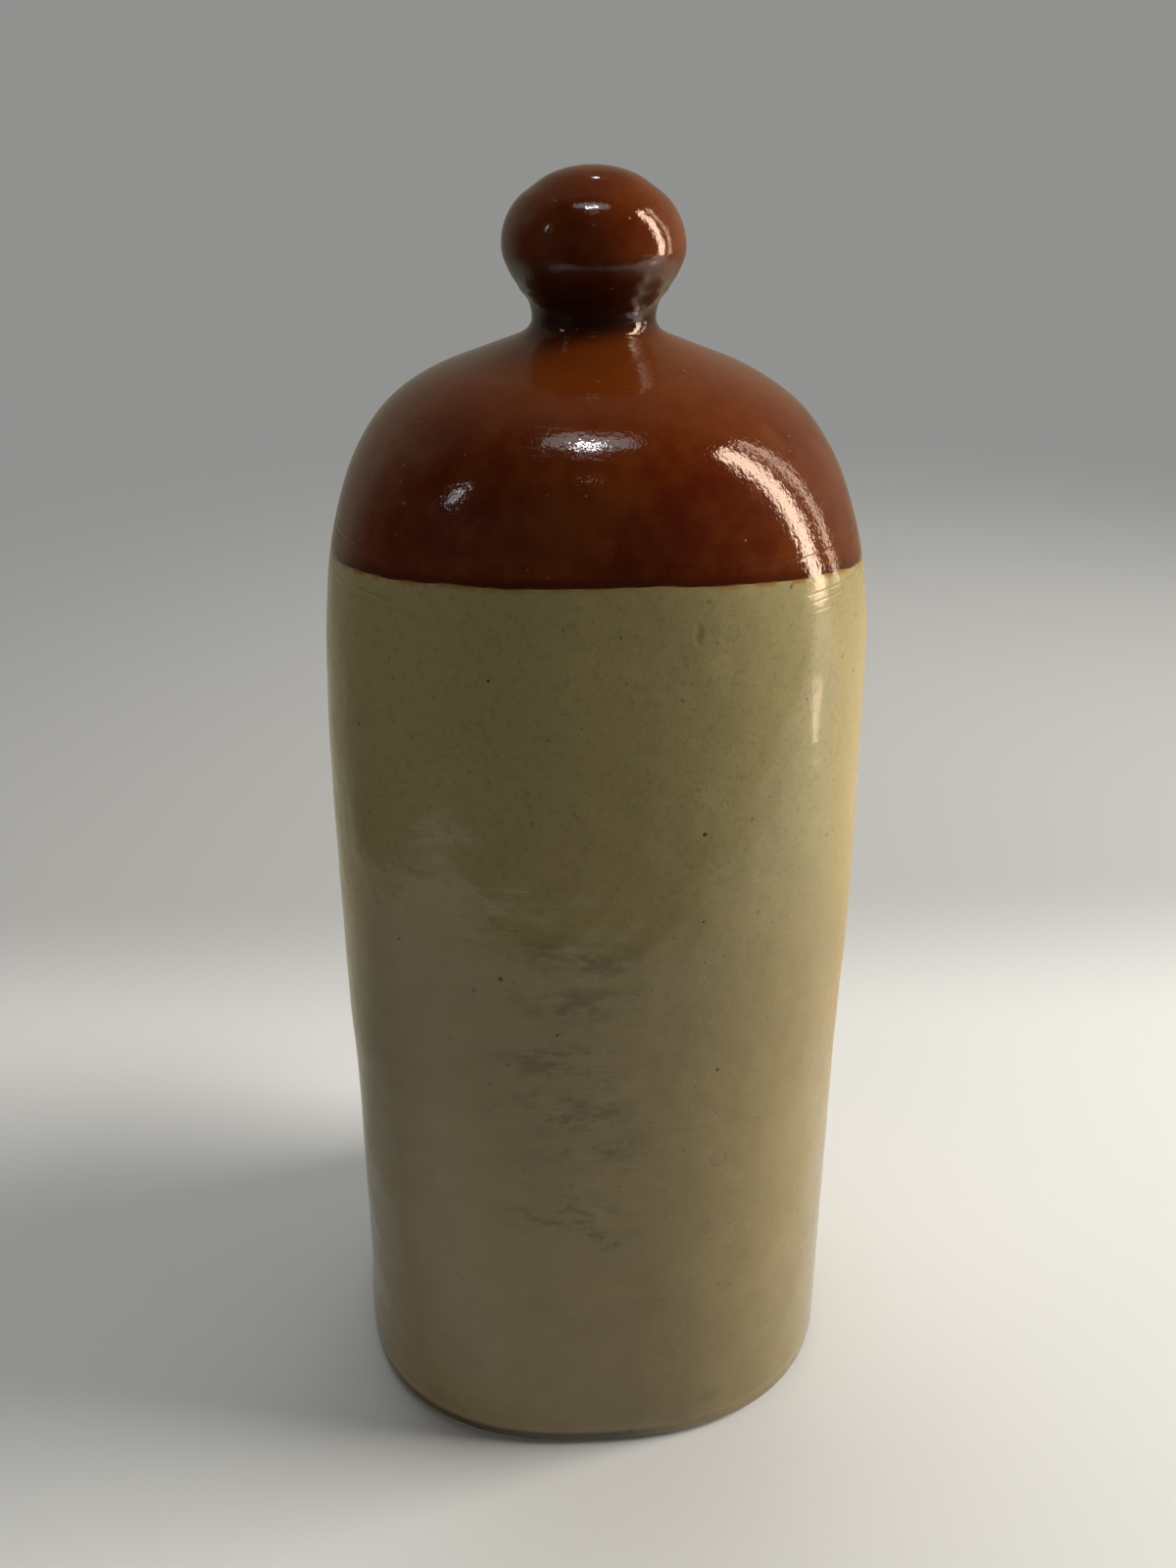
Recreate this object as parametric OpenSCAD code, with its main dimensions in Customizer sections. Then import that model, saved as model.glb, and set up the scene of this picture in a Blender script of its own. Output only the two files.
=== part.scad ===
// Stoneware hot water bottle. A flattened barrel is closed by a domed shoulder with a pulling
// knob, and is filled through a threaded collar in its back, which a screw stopper shuts on a
// rubber washer. Millimetres, +Z up, origin at the middle of the foot. The flattened front
// faces -Y and the filler points along +Y.

/* [Barrel] */
// Width of the barrel at its foot
foot_w = 122; // [104:1:150]
// Depth from the axis to the flattened front, at the foot
front_d = 53.5; // [48:0.5:61]
// Depth from the axis to the rounded back, at the foot
back_d = 56; // [50:0.5:61]
// Height of the springing, where the dome starts to close
spring_h = 180; // [165:1:200]
// Width that the tapering sides have at the springing
spring_w = 110; // [98:1:122]
// Squareness of the front half of the section, where 2 is an ellipse
front_square = 2.5; // [2:0.1:3]
// Squareness of the back half of the section, where 2 is an ellipse
back_square = 2.2; // [2:0.1:3]
// Thickness of the barrel's wall
wall = 8; // [6:0.5:10]
// Thickness of the base slab under the wall
base_t = 9; // [7:0.5:14]
// Rounding of the foot's outer edge
foot_round = 3; // [1:0.5:6]

/* [Shoulder] */
// Height of the seam between the barrel and the shoulder, above the springing
seam_rise = 36; // [26:1:46]
// Rise of the dome from the springing to its crown
dome_rise = 69.5; // [66:0.5:76]
// Fullness of the dome, where 2 is an ellipse
dome_full = 2.9; // [2.5:0.1:3.3]
// Height where the flattened section starts to turn round, above the springing
round_rise = 25; // [10:1:32]
// Thickness of the dome's wall
dome_wall = 8; // [6:0.5:10]

/* [Knob] */
// Depth of the knob's foot below the dome's crown
knob_set = 3; // [2:0.25:6]
// Diameter of the neck under the knob
neck_dia = 22.6; // [18:0.2:26]
// Fillet between the dome and the neck
neck_fillet = 3; // [2:0.5:5]
// Radius of the finger groove under the knob
groove_r = 8; // [6:0.5:11]
// Diameter of the knob
knob_dia = 33.2; // [30:0.2:38]
// Radius of the knob's rounded side
knob_side_r = 8.2; // [7:0.2:9]
// Height of the knob's top above its widest level
knob_crown_h = 12.8; // [11:0.2:18]

/* [Filler] */
// Height of the filler's axis above the foot
filler_h = 118; // [95:1:140]
// Outside diameter of the collar
collar_dia = 56; // [54:1:64]
// Diameter of the collar's spigot through the wall
spigot_dia = 48; // [45:1:50]
// Bore of the collar, at the root of its thread
bore_dia = 35.6; // [33:0.2:37]
// How far the collar's rim stands out of the barrel's back
collar_proud = 6.5; // [4:0.5:12]
// Length of the collar from its rim to its inner end
collar_len = 22; // [20:0.5:26]
// Rounding of the collar's rim
rim_round = 3; // [1:0.5:4]
// Depth that the collar's flange is bedded into the barrel at its sides
flange_bed = 0.4; // [0.2:0.1:1]
// Gap round the collar's flange and spigot in the wall
lute_gap = 0.2; // [0.1:0.05:0.4]

/* [Thread] */
// Lead of the thread
pitch = 7; // [6:0.25:8]
// Depth of the thread
thread_depth = 1.9; // [1.4:0.1:2.2]
// Clearance between the two threads
thread_gap = 0.4; // [0.3:0.05:0.6]
// Axial run of a flank over the thread's depth
flank_run = 0.8; // [0.5:0.1:1.2]
// Depth of the first turn below the collar's rim
thread_start = 3.5; // [3:0.25:5]
// Length left plain beyond the last turn
thread_end = 2.5; // [2:0.25:4]

/* [Stopper] */
// Diameter of the stopper's head
head_dia = 46; // [44:1:52]
// Thickness of the head at its edge
head_t = 6; // [5:0.5:9]
// Rounding of the head's edge
head_round = 2.4; // [1:0.2:2.4]
// Length of the plug below the washer
plug_len = 24; // [21:0.5:26]
// Rounding of the plug's tip
tip_round = 2.5; // [1:0.5:4]
// Width of the grip bar across the head
grip_w = 11; // [8:0.5:16]
// Height of the grip bar above the head
grip_h = 8; // [5:0.5:12]
// Length of the grip bar
grip_len = 38; // [30:1:42]
// Depth of the hollow under the plug
hollow_depth = 14; // [8:0.5:18]
// Diameter of the hollow under the plug
hollow_dia = 15; // [8:0.5:18]

/* [Washer] */
// Diameter of the rubber washer
washer_dia = 44; // [41:0.5:46]
// Thickness of the rubber washer
washer_t = 2.5; // [2:0.25:4]
// Clearance of the washer round the stopper's shank
washer_gap = 0.4; // [0.3:0.05:0.6]

/* [Hidden] */
$fn = 64;

cane_glaze = "#a89567";
brown_glaze = "#6b2f14";
stopper_clay = "#b3a176";
red_rubber = "#7a3b2c";

section_sides = 64;
round_bands = 5;
barrel_dome_bands = 6;
dome_bands = 14;
arc_steps = 10;
overlap = 1;

half_foot = foot_w / 2;
taper = (foot_w - spring_w) / 2 / spring_h;
front_share = front_d / half_foot;
back_share = back_d / half_foot;
seam_h = spring_h + seam_rise;
round_from_h = spring_h + round_rise;
knob_seat_h = spring_h + dome_rise - knob_set;

// Half width of the outside and of the chamber, at a height
function side_line(z) = half_foot - taper * z;
function closing(z, rise) = z <= spring_h ? 1 : pow(1 - pow((z - spring_h) / rise, dome_full), 1 / dome_full);
function half_w(z) = side_line(z) * closing(z, dome_rise);

// How far the flattened section has turned round at a height: 0 on the barrel, 1 at the neck
function eased(t) = t <= 0 ? 0 : t >= 1 ? 1 : t * t * (3 - 2 * t);
function roundness(z) = eased((z - round_from_h) / (knob_seat_h - round_from_h));
function mix(a, b, t) = a + (b - a) * t;

// Radius of the section towards an angle, from its half width, its depth and its squareness
function super_radius(angle, w, d, square) =
    pow(pow(abs(cos(angle)) / w, square) + pow(abs(sin(angle)) / d, square), -1 / square);

// One ring of the shape, taken in from the outside by an inset, with the section of height z
function ring(z, w, inset) = [
    for (i = [0 : section_sides - 1])
        let (angle = 360 * i / section_sides)
        let (t = roundness(z))
        let (share = mix(angle < 180 ? back_share : front_share, 1, t))
        let (square = mix(angle < 180 ? back_square : front_square, 2, t))
        let (radius = super_radius(angle, w - inset, w * share - inset, square))
        [radius * cos(angle), radius * sin(angle), z]
];

// A closed solid over a stack of rings with the same number of points
module loft(rings) {
    sides = len(rings[0]);
    last = len(rings) - 1;
    points = [for (one = rings) for (p = one) p];
    walls = [
        for (k = [0 : last - 1]) for (i = [0 : sides - 1])
            let (a = k * sides + i)
            let (b = k * sides + (i + 1) % sides)
            each [[a, a + sides, b], [b, a + sides, b + sides]]
    ];
    floor_face = [for (i = [0 : sides - 1]) i];
    roof_face = [for (i = [sides - 1 : -1 : 0]) last * sides + i];
    polyhedron(points, concat([floor_face], walls, [roof_face]));
}

// Heights from one level to another, even in a cosine so that they crowd towards the top
function crowded(from, to, bands) = [for (k = [1 : bands]) from + (to - from) * sin(90 * k / bands)];

// The base slab that the wall stands on, with the foot's edge rounded
function base_rings() = concat(
    [
        for (k = [0 : round_bands])
            let (rise = 90 * k / round_bands)
            let (z = foot_round * (1 - cos(rise)))
            ring(z, half_w(z), foot_round * (1 - sin(rise)))
    ],
    [ring(base_t, half_w(base_t), 0)]
);

// The outside of the barrel from the base slab to the seam
function barrel_rings() = concat(
    [ring(base_t, half_w(base_t), 0)],
    [ring(spring_h, half_w(spring_h), 0)],
    [for (z = crowded(spring_h, seam_h, barrel_dome_bands)) ring(z, half_w(z), 0)]
);

// The chamber inside the barrel, run past the base and the seam to cut it open
function chamber_rings() = concat(
    [raised(ring(base_t, half_w(base_t), wall), -overlap)],
    [ring(base_t, half_w(base_t), wall)],
    [ring(spring_h, half_w(spring_h), wall)],
    [for (z = crowded(spring_h, seam_h, barrel_dome_bands)) ring(z, half_w(z), seam_inset(z))],
    [raised(ring(seam_h, half_w(seam_h), seam_inset(seam_h)), overlap)]
);

function raised(points, rise) = [for (p = points) p + [0, 0, rise]];

// The chamber's wall passes evenly from the barrel's thickness to the dome's
function seam_inset(z) = mix(wall, dome_wall, (z - spring_h) / (seam_h - spring_h));

// The filler's own frame: its local +Z points out of the back, and 0 is on the bottle's axis
back_w = half_w(filler_h);
back_at_filler = back_w * back_share;
function back_fall(x) = back_at_filler * (1 - pow(1 - pow(x / back_w, back_square), 1 / back_square));
rim_at = back_at_filler + collar_proud;
seat_at = back_at_filler - back_fall(collar_dia / 2) - flange_bed;

module at_filler() {
    translate([0, 0, filler_h]) rotate([-90, 0, 0]) children();
}

module base() {
    color(cane_glaze) loft(base_rings());
}

module barrel() {
    color(cane_glaze)
    difference() {
        loft(barrel_rings());
        loft(chamber_rings());
        at_filler() {
            cylinder(h = rim_at, d = spigot_dia + 2 * lute_gap);
            translate([0, 0, seat_at]) cylinder(h = rim_at - seat_at, d = collar_dia + 2 * lute_gap);
        }
    }
}

// The inside of the dome, an even wall below the outside
chamber_top = knob_seat_h - dome_wall;
function dome_inset(z) = mix(dome_wall, half_w(z) - chamber_w(z), eased((z - seam_h) / (chamber_top - seam_h)));
function chamber_w(z) = (side_line(z) - dome_wall) * closing(z, dome_rise - dome_wall);

module shoulder() {
    outside = concat(
        [ring(seam_h, half_w(seam_h), 0)],
        [for (z = crowded(seam_h, knob_seat_h, dome_bands)) ring(z, half_w(z), 0)]
    );
    inside = concat(
        [raised(ring(seam_h, half_w(seam_h), dome_wall), -overlap)],
        [ring(seam_h, half_w(seam_h), dome_wall)],
        [for (z = crowded(seam_h, chamber_top, dome_bands)) ring(z, half_w(z), dome_inset(z))]
    );
    color(brown_glaze)
    difference() {
        loft(outside);
        loft(inside);
    }
}

// The knob's outline is four arcs that run into one another: the fillet on the dome, the finger
// groove, the knob's side and its crown
knob_foot_r = half_w(knob_seat_h);
slope_step = 0.5;
dome_slope = atan2(slope_step, half_w(knob_seat_h - slope_step) - knob_foot_r);
neck_r = neck_dia / 2;
knob_r = knob_dia / 2;
fillet_x = neck_r + neck_fillet;
neck_h = knob_seat_h + (knob_foot_r - fillet_x) * tan(dome_slope) + neck_fillet / cos(dome_slope);
groove_x = neck_r + groove_r;
side_x = knob_r - knob_side_r;
side_h = neck_h + sqrt(pow(knob_side_r + groove_r, 2) - pow(groove_x - side_x, 2));
knob_crown_r = (pow(side_x, 2) + pow(knob_crown_h, 2) - pow(knob_side_r, 2)) / (2 * (knob_crown_h - knob_side_r));
crown_at = side_h + knob_crown_h - knob_crown_r;
groove_turn = atan2(side_h - neck_h, side_x - groove_x);
crown_turn = atan2(side_h - crown_at, side_x);

function arc(centre, radius, from, to) = [
    for (k = [0 : arc_steps])
        centre + radius * [cos(mix(from, to, k / arc_steps)), sin(mix(from, to, k / arc_steps))]
];

module knob_outline() {
    polygon(concat(
        [[0, knob_seat_h], [knob_foot_r, knob_seat_h]],
        arc([fillet_x, neck_h], neck_fillet, 270 - dome_slope, 180),
        arc([groove_x, neck_h], groove_r, 180, groove_turn),
        arc([side_x, side_h], knob_side_r, groove_turn - 180, crown_turn),
        arc([0, crown_at], knob_crown_r, crown_turn, 90)
    ));
}

module handle_knob() {
    color(brown_glaze) rotate_extrude() knob_outline();
}

// A helical ridge from radius root to radius crest, with its middle from one height to another. It
// crosses the local X axis at the datum, and fades into the root at both ends
ridge_steps = 24;
ridge_fade = 4;
ridge_sunk = 0.7;
tooth_mid = pitch / 2 - thread_gap;

module helix_ridge(root, crest, datum, low, high) {
    steps = floor((high - low) / pitch * ridge_steps);
    inward = sign(root - crest);
    base = root + inward * ridge_sunk;
    rings = [
        for (k = [0 : steps])
            let (z = low + pitch * k / ridge_steps)
            let (angle = 360 * (z - datum) / pitch)
            let (grown = eased(min(k, steps - k) / ridge_fade))
            let (tip = mix(root + inward * ridge_sunk / 2, crest, grown))
            let (thick = (tooth_mid + flank_run) / 2)
            let (thin = mix(thick, (tooth_mid - flank_run) / 2, grown))
            [
                for (c = [[base, -thick], [tip, -thin], [tip, thin], [base, thick]])
                    [c[0] * cos(angle), c[0] * sin(angle), z + c[1]]
            ]
    ];
    if (inward < 0) loft_strip(rings);
    else loft_strip([for (one = rings) [for (i = [3 : -1 : 0]) one[i]]]);
}

// A closed strip over a row of four-cornered rings
module loft_strip(rings) {
    last = len(rings) - 1;
    points = [for (one = rings) for (p = one) p];
    walls = [
        for (k = [0 : last - 1]) for (i = [0 : 3])
            let (a = 4 * k + i)
            let (b = 4 * k + (i + 1) % 4)
            each [[a, b, a + 4], [b, b + 4, a + 4]]
    ];
    start_face = [[0, 2, 1], [0, 3, 2]];
    n = 4 * last;
    end_face = [[n, n + 1, n + 2], [n, n + 2, n + 3]];
    polyhedron(points, concat(start_face, walls, end_face));
}

bore_r = bore_dia / 2;
collar_r = collar_dia / 2;
spigot_r = spigot_dia / 2;
core_r = bore_r - thread_depth - thread_gap;

module filler_collar() {
    color(cane_glaze)
    at_filler() {
        rotate_extrude() difference() {
            union() {
                translate([0, rim_at - collar_len]) square([spigot_r, collar_len]);
                translate([0, seat_at]) square([collar_r - rim_round, rim_at - seat_at]);
                translate([0, seat_at]) square([collar_r, rim_at - rim_round - seat_at]);
                translate([collar_r - rim_round, rim_at - rim_round]) circle(rim_round);
            }
            translate([0, rim_at - collar_len - overlap]) square([bore_r, collar_len + 2 * overlap]);
        }
        helix_ridge(
            bore_r, bore_r - thread_depth,
            rim_at, rim_at - collar_len + thread_end, rim_at - thread_start
        );
    }
}

head_at = rim_at + washer_t;

module grip_bar() {
    translate([0, 0, head_at + head_t - overlap])
    intersection() {
        rotate([90, 0, 90]) translate([0, 0, -grip_len]) linear_extrude(2 * grip_len) grip_section();
        cylinder(h = grip_h + 2 * overlap, d = grip_len);
    }
}

// The bar's cross-section has a round top, and its ends follow the round of the head
module grip_section() {
    translate([-grip_w / 2, 0]) square([grip_w, grip_h + overlap - grip_w / 2]);
    translate([0, grip_h + overlap - grip_w / 2]) circle(d = grip_w);
}

tip_at = rim_at - plug_len;

module plug_outline() {
    difference() {
        union() {
            translate([0, tip_at + tip_round]) square([core_r, head_at + overlap - tip_at - tip_round]);
            translate([0, tip_at]) square([core_r - tip_round, head_at - tip_at]);
            translate([core_r - tip_round, tip_at + tip_round]) circle(tip_round);
            head_outline();
        }
        translate([0, tip_at - overlap]) square([hollow_dia / 2, hollow_depth + overlap]);
    }
}

module head_outline() {
    head_r = head_dia / 2;
    translate([0, head_at]) square([head_r - head_round, head_t]);
    translate([0, head_at + head_round]) square([head_r, head_t - 2 * head_round]);
    for (z = [head_at + head_round, head_at + head_t - head_round])
        translate([head_r - head_round, z]) circle(head_round);
}

module screw_stopper() {
    color(stopper_clay)
    at_filler() {
        rotate_extrude() plug_outline();
        grip_bar();
        helix_ridge(
            core_r, bore_r - thread_gap,
            rim_at + pitch / 2, tip_at + tip_round + thread_end, rim_at - thread_start
        );
    }
}

module sealing_washer() {
    color(red_rubber)
    at_filler()
    translate([0, 0, rim_at])
    difference() {
        cylinder(h = washer_t, d = washer_dia);
        translate([0, 0, -overlap]) cylinder(h = washer_t + 2 * overlap, r = core_r + washer_gap);
    }
}

base();
barrel();
shoulder();
handle_knob();
filler_collar();
screw_stopper();
sealing_washer();
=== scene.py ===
import math

import bmesh
import bpy
from bpy.props import FloatProperty, FloatVectorProperty, PointerProperty
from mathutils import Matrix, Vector


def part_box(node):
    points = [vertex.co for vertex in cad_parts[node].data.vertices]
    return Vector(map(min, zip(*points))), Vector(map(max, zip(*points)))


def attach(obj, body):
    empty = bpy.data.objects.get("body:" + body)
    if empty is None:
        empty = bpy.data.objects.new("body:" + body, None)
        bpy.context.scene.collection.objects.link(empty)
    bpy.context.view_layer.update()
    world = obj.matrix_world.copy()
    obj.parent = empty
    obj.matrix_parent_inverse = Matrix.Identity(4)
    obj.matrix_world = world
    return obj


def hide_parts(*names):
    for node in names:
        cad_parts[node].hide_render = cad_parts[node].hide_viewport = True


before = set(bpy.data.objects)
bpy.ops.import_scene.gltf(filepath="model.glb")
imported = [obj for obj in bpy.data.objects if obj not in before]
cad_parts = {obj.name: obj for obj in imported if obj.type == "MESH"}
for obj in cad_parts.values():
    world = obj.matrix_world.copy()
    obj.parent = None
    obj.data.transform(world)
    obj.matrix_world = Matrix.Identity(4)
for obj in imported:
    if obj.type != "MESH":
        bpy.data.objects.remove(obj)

bl_info = {
    "name": "Stoneware hot water bottle",
    "version": (1, 0, 0),
    "blender": (4, 5, 0),
    "location": "View3D > Sidebar > Bottle",
    "description": "Builds a two-tone glazed stoneware hot water bottle with its screw stopper",
    "category": "Add Mesh",
}

MM = 0.001
TURN = 2 * math.pi
QUARTER = math.pi / 2

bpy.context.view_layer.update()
COLLAR_LOW, COLLAR_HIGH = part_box("filler_collar")
WASHER_LOW, WASHER_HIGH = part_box("sealing_washer")
STOPPER_LOW, STOPPER_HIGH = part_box("screw_stopper")
FILLER_AXIS = (COLLAR_LOW[2] + COLLAR_HIGH[2]) / 2
COLLAR_WIDTH = COLLAR_HIGH[0] - COLLAR_LOW[0]

# Counts of points round a piece, which set how fine it is
BODY_COLUMNS = 224
STOPPER_COLUMNS = 144
# Distance given to points that have nothing to do with the brown glaze's edge
FAR_FROM_EDGE = 1.0
# Angles from which an edge counts as sharp, on a piece with crisp edges and on a rounded one
CRISP_PIECE = math.radians(40)
ROUNDED_PIECE = math.radians(50)


def length(name, description, millimetres):
    """A size property in metres, with its default given in millimetres."""
    return FloatProperty(
        name=name, description=description, default=millimetres * MM, unit="LENGTH", min=0.0, precision=4
    )


def number(name, description, default):
    """A plain number property."""
    return FloatProperty(name=name, description=description, default=default)


def colour(name, description, red, green, blue):
    """A linear colour property."""
    return FloatVectorProperty(
        name=name, description=description, default=(red, green, blue), subtype="COLOR", min=0.0, max=1.0
    )


class BottleBodySizes(bpy.types.PropertyGroup):
    """Sizes of the barrel, the domed shoulder and the knob"""

    foot_width: length("Foot width", "Width that the sides would have at the very bottom", 122)
    front_depth: length("Front depth", "Depth from the axis to the flattened front, at the foot", 53.5)
    back_depth: length("Back depth", "Depth from the axis to the rounded back, at the foot", 56)
    spring_height: length("Springing", "Height where the dome starts to close", 180)
    spring_width: length("Springing width", "Width of the tapering sides at the springing", 110)
    front_square: number("Front squareness", "Squareness of the front half, where 2 is an ellipse", 2.5)
    back_square: number("Back squareness", "Squareness of the back half, where 2 is an ellipse", 2.2)
    wall: length("Wall", "Thickness of the clay wall", 8)
    base_thick: length("Base thickness", "Thickness of the base", 9)
    foot_round: length("Foot rounding", "Rounding of the foot's outer edge", 3)
    base_hollow: length("Base hollow", "How far the middle of the base is turned away", 0.7)
    seam_rise: length("Seam rise", "Height of the seam above the springing", 36)
    dome_rise: length("Dome rise", "Rise of the dome from the springing to its crown", 69.5)
    dome_full: number("Dome fullness", "Fullness of the dome, where 2 is an ellipse", 2.9)
    round_rise: length("Rounding rise", "Height above the springing where the section turns round", 25)
    knob_set: length("Knob set", "Depth of the knob's foot below the dome's crown", 3)
    neck_width: length("Neck width", "Diameter of the neck under the knob", 22.6)
    neck_fillet: length("Neck fillet", "Fillet that sets the neck's height over the dome", 3)
    neck_flare: length("Neck flare", "Run of the flare from the neck out on to the dome", 8)
    groove_radius: length("Groove radius", "Radius of the finger groove under the knob", 8)
    knob_width: length("Knob width", "Diameter of the knob", 32.8)
    knob_side: length("Knob side", "Radius of the knob's rounded side", 8.2)
    knob_crown: length("Knob crown", "Height of the knob's top above its widest level", 12.8)
    wobble: length("Hand wobble", "How far the thrown and pressed wall strays from true", 0.22)
    knob_lean: length("Knob lean", "How far the knob's crown leans to the left", 0.2)
    dip_height: length("Dip height", "Height of the brown glaze's edge at the sides", 213.6)
    dip_tilt: length("Dip tilt", "How much higher the edge is at the front than at the sides", 5.9)
    dip_lean: length("Dip lean", "How much lower the edge is on the right than in the middle", 0.7)
    dip_waver: length("Dip waver", "How far the edge strays from a clean line", 0.35)
    bead: length("Glaze bead", "Thickness of the rolled edge of the brown glaze", 0.04)
    scribe_depth: length("Scribed line depth", "Depth of the fine turned guide lines", 0.1)
    scribe_width: length("Scribed line width", "Half width of the fine turned guide lines", 0.2)


class BottleFillerSizes(bpy.types.PropertyGroup):
    """Sizes of the threaded collar, its stopper and the washer"""

    axis_height: length("Axis height", "Height of the filler's axis", FILLER_AXIS / MM)
    collar_width: length("Collar width", "Outside diameter of the collar", COLLAR_WIDTH / MM)
    rim_out: length("Rim", "Distance of the collar's rim from the bottle's axis", COLLAR_HIGH[1] / MM)
    inner_end: length("Inner end", "Distance of the collar's inner end from the axis", COLLAR_LOW[1] / MM)
    spigot_width: length("Spigot width", "Diameter of the collar inside the chamber", 48)
    bore_width: length("Bore", "Bore of the collar at the root of its thread", 35.6)
    rim_round: length("Rim rounding", "Rounding of the collar's rim", 3)
    bore_round: length("Bore rounding", "Rounding of the bore's mouth", 1.2)
    lute_fillet: length("Lute fillet", "Fillet of slip between the collar and the barrel", 2.6)
    lead: length("Lead", "Lead of the thread", 7)
    thread_depth: length("Thread depth", "Depth of the thread", 1.9)
    thread_gap: length("Thread gap", "Clearance between the two threads", 0.4)
    flank_run: length("Flank run", "Axial run of a flank over the thread's depth", 0.8)
    thread_start: length("Thread start", "Depth of the first turn below the rim", 3.5)
    thread_end: length("Thread end", "Length left plain beyond the last turn", 2.5)
    head_width: length("Head width", "Diameter of the stopper's head", 46)
    head_thick: length("Head thickness", "Thickness of the stopper's head", 6)
    head_round: length("Head rounding", "Rounding of the head's edge", 2.4)
    grip_width: length("Grip width", "Width of the grip bar", 11)
    grip_length: length("Grip length", "Length of the grip bar", 38)
    grip_fillet: length("Grip fillet", "Fillet between the grip bar and the head", 2)
    tip_round: length("Tip rounding", "Rounding of the plug's tip", 2.5)
    hollow_width: length("Hollow width", "Diameter of the hollow under the plug", 15)
    hollow_depth: length("Hollow depth", "Depth of the hollow under the plug", 14)
    washer_gap: length("Washer gap", "Clearance of the washer round the stopper", 0.4)
    washer_round: length("Washer rounding", "Rounding of the washer's edges", 0.6)


class BottleColours(bpy.types.PropertyGroup):
    """Colours of the glazes, the bare clay and the rubber"""

    cane: colour("Cane glaze", "Clear glaze over the cane body", 0.330, 0.252, 0.103)
    cane_deep: colour("Deep cane", "Cane glaze where it lies thick", 0.272, 0.206, 0.084)
    # Painted light: a paler cane laid over the upper barrel, also the colour of the scratches
    cane_pale: colour("Pale cane", "Cane glaze clouded under the shoulder", 0.379, 0.323, 0.155)
    cane_stain: colour("Grey stain", "Old grey wear on the front", 0.118, 0.097, 0.034)
    brown: colour("Brown glaze", "Dipped brown glaze at its usual thickness", 0.076, 0.0078, 0.0006)
    brown_thin: colour("Thin brown", "Brown glaze where it runs thin", 0.138, 0.0310, 0.0042)
    # Painted shade: brown glaze darkened under the knob, where the glaze also pools
    brown_pool: colour("Brown pool", "Brown glaze pooled under the knob", 0.018, 0.0027, 0.0006)
    brown_edge: colour("Brown edge", "Brown glaze pooled in its rolled edge", 0.060, 0.0090, 0.0020)
    ochre: colour("Ochre fringe", "Thin fringe of glaze below the rolled edge", 0.290, 0.130, 0.022)
    iron: colour("Iron specks", "Specks of iron in the clay", 0.050, 0.030, 0.017)
    bare_clay: colour("Bare clay", "Unglazed clay under the foot", 0.420, 0.318, 0.196)
    stopper: colour("Stopper clay", "Thinly glazed clay of the stopper", 0.360, 0.275, 0.140)
    rubber: colour("Rubber", "Red-brown rubber of the washer", 0.165, 0.040, 0.024)
    rubber_bloom: colour("Rubber bloom", "Pale bloom on the old rubber", 0.300, 0.165, 0.125)
    floor: colour("Floor", "Pale floor that the bottle stands on", 0.660, 0.660, 0.645)
    floor_bounce: colour("Floor bounce", "Light that the floor throws back", 0.170, 0.170, 0.162)
    floor_lit: colour("Lit floor", "Light that the floor throws back on the right", 0.780, 0.745, 0.620)
    floor_mirrored: colour("Mirrored floor", "Floor as it shows in the glaze", 0.560, 0.560, 0.550)
    floor_behind: colour("Floor behind", "Greyer floor well behind the bottle", 0.430, 0.430, 0.420)


def rise(value, start, end):
    """A smooth step from 0 to 1 as a value goes from start to end."""
    t = min(max((value - start) / (end - start), 0.0), 1.0)
    return t * t * (3 - 2 * t)


def mix(a, b, t):
    return a + (b - a) * t


def bell(value, middle, reach):
    """A bump of height 1 round a middle value."""
    return math.exp(-(((value - middle) / reach) ** 2))


def span(low, high, steps):
    """Evenly spaced values from low to high, both included."""
    return [mix(low, high, k / steps) for k in range(steps + 1)]


def squared_radius(angle, width, depth, square):
    """Radius of a squared oval towards an angle."""
    across = abs(math.cos(angle)) / width
    along = abs(math.sin(angle)) / depth
    return (across ** square + along ** square) ** (-1 / square)


def sizes_of(group):
    """The values of a property group as plain numbers by name."""
    return {name: getattr(group, name) for name in type(group).__annotations__}


# The wall as the hand left it: heights where it starts and stops straying from true, and its waves
STRAYS_FROM = (12 * MM, 52 * MM)
STRAYS_UNTIL = (226 * MM, 244 * MM)
SLOW_WAVE = 13.5 * MM
PRESSED_WAVE = 31 * MM
THROWN_WAVE = 2.9 * MM
# Where the hand pushed the wall, in millimetres: height, reach, and push on the left and on the right
HAND_PUSHES = (
    (200.0, 20.0, -0.8, 0.0), (140.0, 28.0, 0.0, 0.7), (241.0, 6.5, 0.95, -0.45),
    (232.0, 9.0, 0.62, 0.55), (239.0, 4.5, 0.0, 0.75),
)
# The lower left, pushed in as a whole: heights where that starts and ends, and the push in millimetres
LOW_LEFT_FROM = (5 * MM, 25 * MM)
LOW_LEFT_UNTIL = (85 * MM, 115 * MM)
LOW_LEFT_PUSH = -0.7
# Heights between which the knob starts to lean
KNOB_LEANS = (263 * MM, 272 * MM)
# How the knob strays from its arcs, in millimetres: height over its widest level, reach and push
KNOB_SQUEEZES = ((-7.1, 1.0, 0.45), (-3.5, 1.8, -0.22), (9.7, 1.3, -0.42))
# Turn at which the rows of the knob's crown stop, just short of its top
CROWN_STOPS = QUARTER - 0.02
# How the front of the dipped edge rises, and the waves along it: share, count round the bottle, and turn
DIP_CURVE = 1.5
DIP_WAVES = ((0.5, 4, 0.6), (0.3, 9, 2.1), (0.22, 17, 0.3), (0.16, 41, 1.7))
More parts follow.
